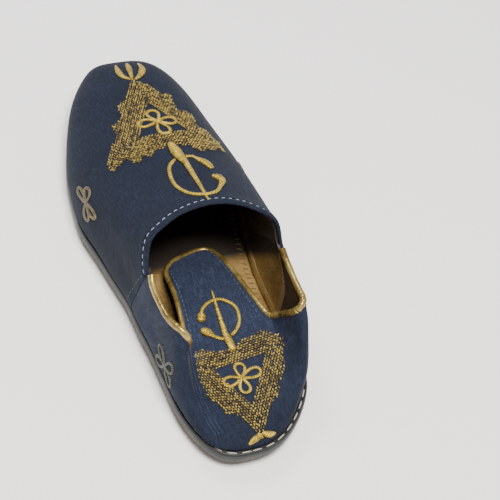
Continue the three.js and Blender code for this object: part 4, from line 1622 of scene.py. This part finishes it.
VAMP_MOTIF = Motif(
    name="vamp",
    ground=Ground.VAMP,
    rise=0.75,
    outline=(
        (0.4, 226), (-0.4, 224.1), (-5.7, 212.6), (-8.6, 207.2), (-13.5, 205.4), (-13.9, 201.7), (-13.8, 197.8),
        (-16.9, 192.4), (-20.4, 191.4), (-21.3, 188.5), (-20.8, 184.3), (-23.3, 179.1), (-26.4, 175.6),
        (-28.5, 172.2), (-30.8, 167.2), (-31, 160.9), (-30.1, 158.2), (-27.5, 159.3), (-24.1, 161.7),
        (-21.2, 161.5), (-20.6, 157),
        (-17.9, 155.8), (-15.2, 159.2), (-11.4, 156.8), (-8.4, 159.6), (-3.5, 159.9), (-0.2, 163.1), (6.2, 159.9),
        (10.3, 160.3), (11.9, 155.7), (14.2, 153), (18.9, 156.3), (20.8, 155.1), (27.1, 161.5), (29.3, 158.5),
        (30.3, 167.1), (26.9, 169.5), (25.5, 175), (21.6, 176), (21, 180.4), (22.4, 188.3), (20.2, 190.4),
        (15.4, 191.6), (14.9, 196.4), (16.2, 206.2), (15.8, 208.2), (11.9, 207.2), (10.4, 209.3), (7.3, 216.9),
        (4.1, 220.7), (2, 224.5),
    ),
    window=((1.5, 200.5), (-12.3, 173.5), (13.2, 173)),
    cords=(
        (((-1.9, 243.8), (-3.2, 235.9), (-2.7, 229), (0.4, 225)), (0.5, 1.2, 1.8, 1.5, 0.7), 0.5, 0.05),
        (((4.7, 244.4), (3.2, 236), (1.3, 225.8)), (0.5, 1.4, 1.7, 1.2, 0.8), 0.5, 0.05),
        (((10.7, 243), (10.4, 235.8), (6.6, 227.9), (2.5, 224.4)), (0.5, 1.4, 2.0, 1.6, 0.7), 0.5, 0.05),
        (((0.3, 162.9), (0.5, 154.7), (1.4, 145.8)), (1.6, 2.4, 2.9, 2.6, 1.7), 0.55, 0.06, 1.3),
        (((1.7, 148), (1.6, 130.8), (0.8, 110.4)), (1.7, 1.5, 1.25, 0.95, 0.5), 0.7, 0.04, 1.3),
        (
            ((-2, 149.3), (-6.2, 145), (-8.4, 138), (-9.1, 131.1), (-7.7, 123.9), (-4.2, 118.4), (1.5, 115.9),
             (6.6, 116.8), (11.4, 122), (13.9, 127.7), (12.2, 130.3), (10.9, 131.7)),
            (0.8, *[1.0] * 16, 1.3, 1.9, 2.1, 1.0), 0.75, 0.08, 1.6,
        ),
        (
            ((3.7, 150.3), (7.3, 149.8), (9.7, 145.9), (12.1, 142.2), (13.7, 138.1)),
            (0.9, 0.9, 0.95, 1.6, 2.0, 1.9, 1.1), 0.65, 0.10, 1.6,
        ),
    ),
    flower_centre=(0.7, 183),
    flower_tips=((0.1, 193.1), (10.5, 182.3), (1.8, 171.6), (-9.2, 184.1)),
    petal=6.4,
    petal_thread=0.9,
)  # fmt: skip

HEEL_MOTIF = Motif(
    name="heel",
    ground=Ground.HEEL,
    rise=0.05,
    outline=(
        (-21.3, 53.3), (-18.5, 56), (-15.4, 55.6), (-13.4, 53.7), (-9, 53.2), (-5.1, 53.7), (1.4, 54.6), (5, 56.5),
        (9.1, 57.2), (12.7, 58.6), (18.4, 59.6), (21.1, 56), (24.6, 52), (24.2, 49), (21.7, 44.4), (20.1, 38.5),
        (17.6, 32.8), (13.4, 29.7), (12.4, 24.4), (9.5, 21.9), (5.7, 20.1), (2.9, 15), (-1, 8.2), (-4.4, 7.2),
        (-7.2, 12.2), (-11.9, 18.9), (-15, 18.6), (-16.8, 20.6), (-18, 24.6), (-22.1, 30.2), (-23.6, 39.1),
        (-22.2, 49),
    ),
    window=((-14.3, 43.7), (13.2, 47), (-2.9, 21.6)),
    cords=(
        (((-3.5, 7.4), (-5.5, 5.9), (-7.5, 5.2), (-10.5, 3.8)), (0.7, 1.4, 1.6, 1.2, 0.5), 0.5, 0.05),
        (((-3.5, 7.4), (-3.7, 6.2), (-4.0, 4.8)), (0.8, 1.3, 1.2, 0.6), 0.5, 0.05),
        (((-3, 7.4), (-0.5, 6.4), (2, 6.2), (4, 6.6)), (0.7, 1.4, 1.6, 1.2, 0.5), 0.5, 0.05),
        (((-1.5, 52.1), (-2.1, 58), (-2.7, 62.4)), (1.7, 1.9, 2.1, 1.9, 1.4), 0.6, 0.06, 1.2),
        (((-2.6, 61.5), (-2.3, 72.7), (-1.1, 86)), (1.5, 1.2, 0.95, 0.7, 0.4), 0.75, 0.04, 1.3),
        (
            ((-3.2, 58.6), (-5.5, 59.2), (-7.9, 60.6), (-10.4, 62.7), (-12.4, 64.2), (-14.1, 65.1)),
            (0.8, 0.9, 0.95, 1.1, 2.0, 2.2, 1.2), 0.7, 0.05, 1.4,
        ),
        (
            ((0, 59.7), (3.1, 61.7), (6.2, 65.5), (7.2, 68.6), (7.5, 72.4), (6.5, 75.5), (4.6, 77.5), (1.2, 79.7),
             (-2, 79.9), (-5.5, 79), (-8.1, 77.3), (-9.5, 76), (-10.6, 73.9)),
            (0.8, *[0.9] * 14), 0.8, 0.06, 1.5,
        ),
        (((-10.6, 74.2), (-11.5, 71.9), (-12.6, 69.2)), (0.9, 1.9, 2.1, 2.0, 1.2), 0.7, 0.16, 1.7),
    ),
    flower_centre=(-2.9, 36.3),
    flower_tips=((-1.4, 44.4), (7.5, 38.6), (-3.1, 28.1), (-12.2, 35.3)),
    petal=5.4,
    petal_thread=0.8,
)  # fmt: skip


@dataclass
class SideFlower:
    """A small flower of four loops, sewn on both sides of the shoe."""

    name: str
    spot: tuple[float, float, float]  # near its middle on the outer side, on the last
    reach: float  # of a loop along the wall
    rise: float  # of a loop up the wall
    stand: float  # height of the thread's middle over the skin
    thread: float = 0.85

    def _middle(self) -> tuple[float, float]:
        """The place (u, w) on the inner side that mirrors the point of the skin nearest to the spot.

        Returns:
            u and w.
        """
        u, w = np.meshgrid(np.linspace(0.1, 0.9, 400), np.linspace(0.02, 0.9, 120), indexing="ij")
        nearest = ((LAST.skin(-u, w).reshape(-1, 3) - np.array(self.spot)) ** 2).sum(axis=1).argmin()
        return u.ravel()[nearest], w.ravel()[nearest]

    def build(self, material: Material) -> None:
        """Sews both flowers: each loop is drawn in the tangent plane, along the wall by u and up it by w.

        Args:
            material: the flowers' finish.
        """
        place_u, place_w = self._middle()
        turn = 2 * np.pi * np.linspace(0.02, 0.98, 40)
        out = (1 - np.cos(turn)) / 2
        swing = 0.3 * np.sin(turn) * out**0.6
        parts = []
        for side in (-1, 1):
            here, du, dw = LAST.skin(np.array([0, 1e-3, 0]) + side * place_u, np.array([0, 0, 1e-3]) + place_w)
            by_u, by_w = np.linalg.norm(du - here) / 1e-3, np.linalg.norm(dw - here) / 1e-3
            for a, b in ((1, 1), (1, -1), (-1, -1), (-1, 1)):
                u = side * place_u + a * self.reach * (out - swing * 0.45) / by_u
                w = place_w + b * self.rise * (out + swing * 2.1) / by_w
                normal = LAST.skin_normal(u, w)
                line = LAST.skin(u, w) + normal * self.stand
                half = self.thread * (1 + 0.12 * np.sin(arc_length(line) * 2 * np.pi / 1.2))
                parts.append(sweep(line[None], normal[None], half[None], half[None] * 0.7, 8))
        make_piece(self.name, merged(parts), material, sharp=THREAD_SHARP)


FOREFOOT_FLOWERS = SideFlower("forefoot_flowers", (-44.0, 152.5, 25.6), 10.5, 4.2, 0.75)
HEEL_FLOWERS = SideFlower("heel_flowers", (-35.3, 50.8, 21.5), 8.5, 4.4, 0.1)


# ---------------------------------------------------------------- studio


@dataclass
class Studio:
    """A pale floor, soft lights and the photograph's camera."""

    focal: float = 1468.206  # pixels
    elevation: float = 0.853  # radians, looking down
    azimuth: float = 0.474
    roll: float = 0.188
    centre: tuple[float, float] = (184.118, 230.946)  # pixels
    distance: float = 0.750308
    sensor: float = 36.0  # mm
    target: tuple[float, float, float] = (0.0, 129.0, 20.0)  # on the last
    floor_half: float = 3.0
    paper: int = 0xFBFAF8
    sky: int = 0xF4F6FA
    sky_strength: float = 0.42
    # name, place, side, power and colour of each lamp
    lamps: tuple[tuple, ...] = (
        ("window", (-0.05, -0.4, 1.35), 0.5, 38.0, 0xFFFCF6),
        ("far_window", (-0.2, 0.95, 1.15), 0.45, 11.0, 0xF4F7FF),
    )

    def build_camera(self) -> None:
        """Places the camera as fitted to the photograph."""
        e, a, r = self.elevation, self.azimuth, self.roll
        look = Vector((math.cos(e) * math.sin(a), math.cos(e) * math.cos(a), -math.sin(e)))
        right = look.cross(Vector((0, 0, 1))).normalized()
        up = right.cross(look)
        x_axis = right * math.cos(r) + up * math.sin(r)
        y_axis = up * math.cos(r) - right * math.sin(r)
        data = bpy.data.cameras.new("camera")
        data.sensor_width = self.sensor
        data.lens = self.focal / IMAGE_SIDE * self.sensor
        data.shift_x = (IMAGE_SIDE / 2 - self.centre[0]) / IMAGE_SIDE
        data.shift_y = (self.centre[1] - IMAGE_SIDE / 2) / IMAGE_SIDE
        data.clip_start, data.clip_end = 0.05, 20
        camera = bpy.data.objects.new("camera", data)
        bpy.context.scene.collection.objects.link(camera)
        spot = Vector((np.array(self.target) + PLACE) * MM) - look * self.distance
        camera.matrix_world = Matrix.Translation(spot) @ Matrix((x_axis, y_axis, -look)).transposed().to_4x4()
        bpy.context.scene.camera = camera

    def build_floor(self) -> None:
        """Lays a plain pale floor."""
        mesh = bpy.data.meshes.new("floor")
        side = self.floor_half
        mesh.from_pydata([(-side, -side, 0), (side, -side, 0), (side, side, 0), (-side, side, 0)], [], [[0, 1, 2, 3]])
        matt = {"Base Color": linear(self.paper), "Roughness": 0.9}
        mesh.materials.append(Finish("white_paper").make(("surface", "BsdfPrincipled", matt)))
        floor = bpy.data.objects.new("floor", mesh)
        bpy.context.scene.collection.objects.link(floor)

    def build_lights(self) -> None:
        """Hangs two wide lamps and a pale sky."""
        for name, spot, side, power, colour in self.lamps:
            data = bpy.data.lights.new(name, "AREA")
            data.size, data.energy, data.color = side, power, linear(colour)[:3]
            lamp = bpy.data.objects.new(name, data)
            bpy.context.scene.collection.objects.link(lamp)
            lamp.location = spot
            lamp.rotation_euler = (Vector((0, 0, 0.03)) - Vector(spot)).to_track_quat("-Z", "Y").to_euler()
        world = bpy.data.worlds.new("sky")
        bpy.context.scene.world = world
        world.use_nodes = True
        sky = world.node_tree.nodes["Background"]
        sky.inputs["Color"].default_value = linear(self.sky)
        sky.inputs["Strength"].default_value = self.sky_strength


def main() -> None:
    """Builds the slipper from the camera outwards."""
    logging.basicConfig(level=logging.INFO, format="%(name)s %(message)s")
    studio = Studio()
    studio.build_camera()
    studio.build_floor()
    studio.build_lights()

    denim, gold = Denim().material(), GoldThread().material()
    # heel-piece denim: its end darkened by painted shade, its folds worn pale
    worn = Denim("shaded_worn_denim", 0x0F131D, 0x20273A, 0x3E4760, heel_shade_and_wear=0.3).material()
    satin = GoldThread("gold_satin_thread", 0x473A0A, 0x90761A, 0xD0B03A, 0.8, 0.5).material()
    dull = GoldThread("dull_gold_thread", 0x201B12, 0x50452C, 0x766846).material()
    faded = GoldThread("faded_gold_thread", 0x171712, 0x34352C, 0x4C4C3C).material()
    thread = Thread().material()
    pale = Thread("pale_blue_thread", 0x6B7A92, 0x9CACC2).material()
    navy = Thread("navy_thread", 0x202736, 0x434E66).material()
    ecru = Thread("tan_waxed_thread", 0x4E3A1C, 0x74592E).material()
    # tan leather of the insole and the quarters' lining, with the vamp's shadow painted on towards the toe
    tan = Leather(soiled=True).material()
    # brown heel lining: partly the lining's own brown, partly painted shade, darkened to stand for the shade on the
    # inner heel wall
    shaded_brown = Leather("shaded_brown_lining_leather", 0x2A1F16, 0x402F22, 0x53402F, 1.2, 0.75).material()
    # dark vamp lining: painted shade for the deep shadow inside the vamp, whose lining is tan
    shaded_vamp_lining = Leather("shaded_vamp_lining_leather", 0x33281F, 0x43362B, 0x54463A, 1.2, 0.75).material()
    gilt = Leather("gold_foil_leather", 0x5C4A22, 0x8A743E, 0xB49C5A, 1.0, 0.27, 0.6, 0.05, 14.0).material()
    grey = Rubber().material()
    crepe = Rubber("tan_crepe_rubber", 0x5A4A34, 0x776244, 0x8F7A5A, 0.7).material()

    sole = Sole()
    sole.dress_outsole(crepe)
    sole.build_cup(grey)
    sole.build_rim_stitches(thread)
    sole.build_insole(tan)
    sole.build_insole_stitches(ecru)

    upper = Upper()
    upper.build_vamp(denim)
    upper.build_vamp_lining(shaded_vamp_lining)
    upper.build_heel(worn, shaded_brown)
    upper.build_quarter_lining(tan, ecru)
    upper.build_stitches(pale, navy)
    Binding().build(gilt)

    VAMP_MOTIF.build(gold, satin)
    HEEL_MOTIF.build(gold, satin)
    FOREFOOT_FLOWERS.build(dull)
    HEEL_FLOWERS.build(faded)

    bpy.context.view_layer.update()


if __name__ == "__main__":
    main()
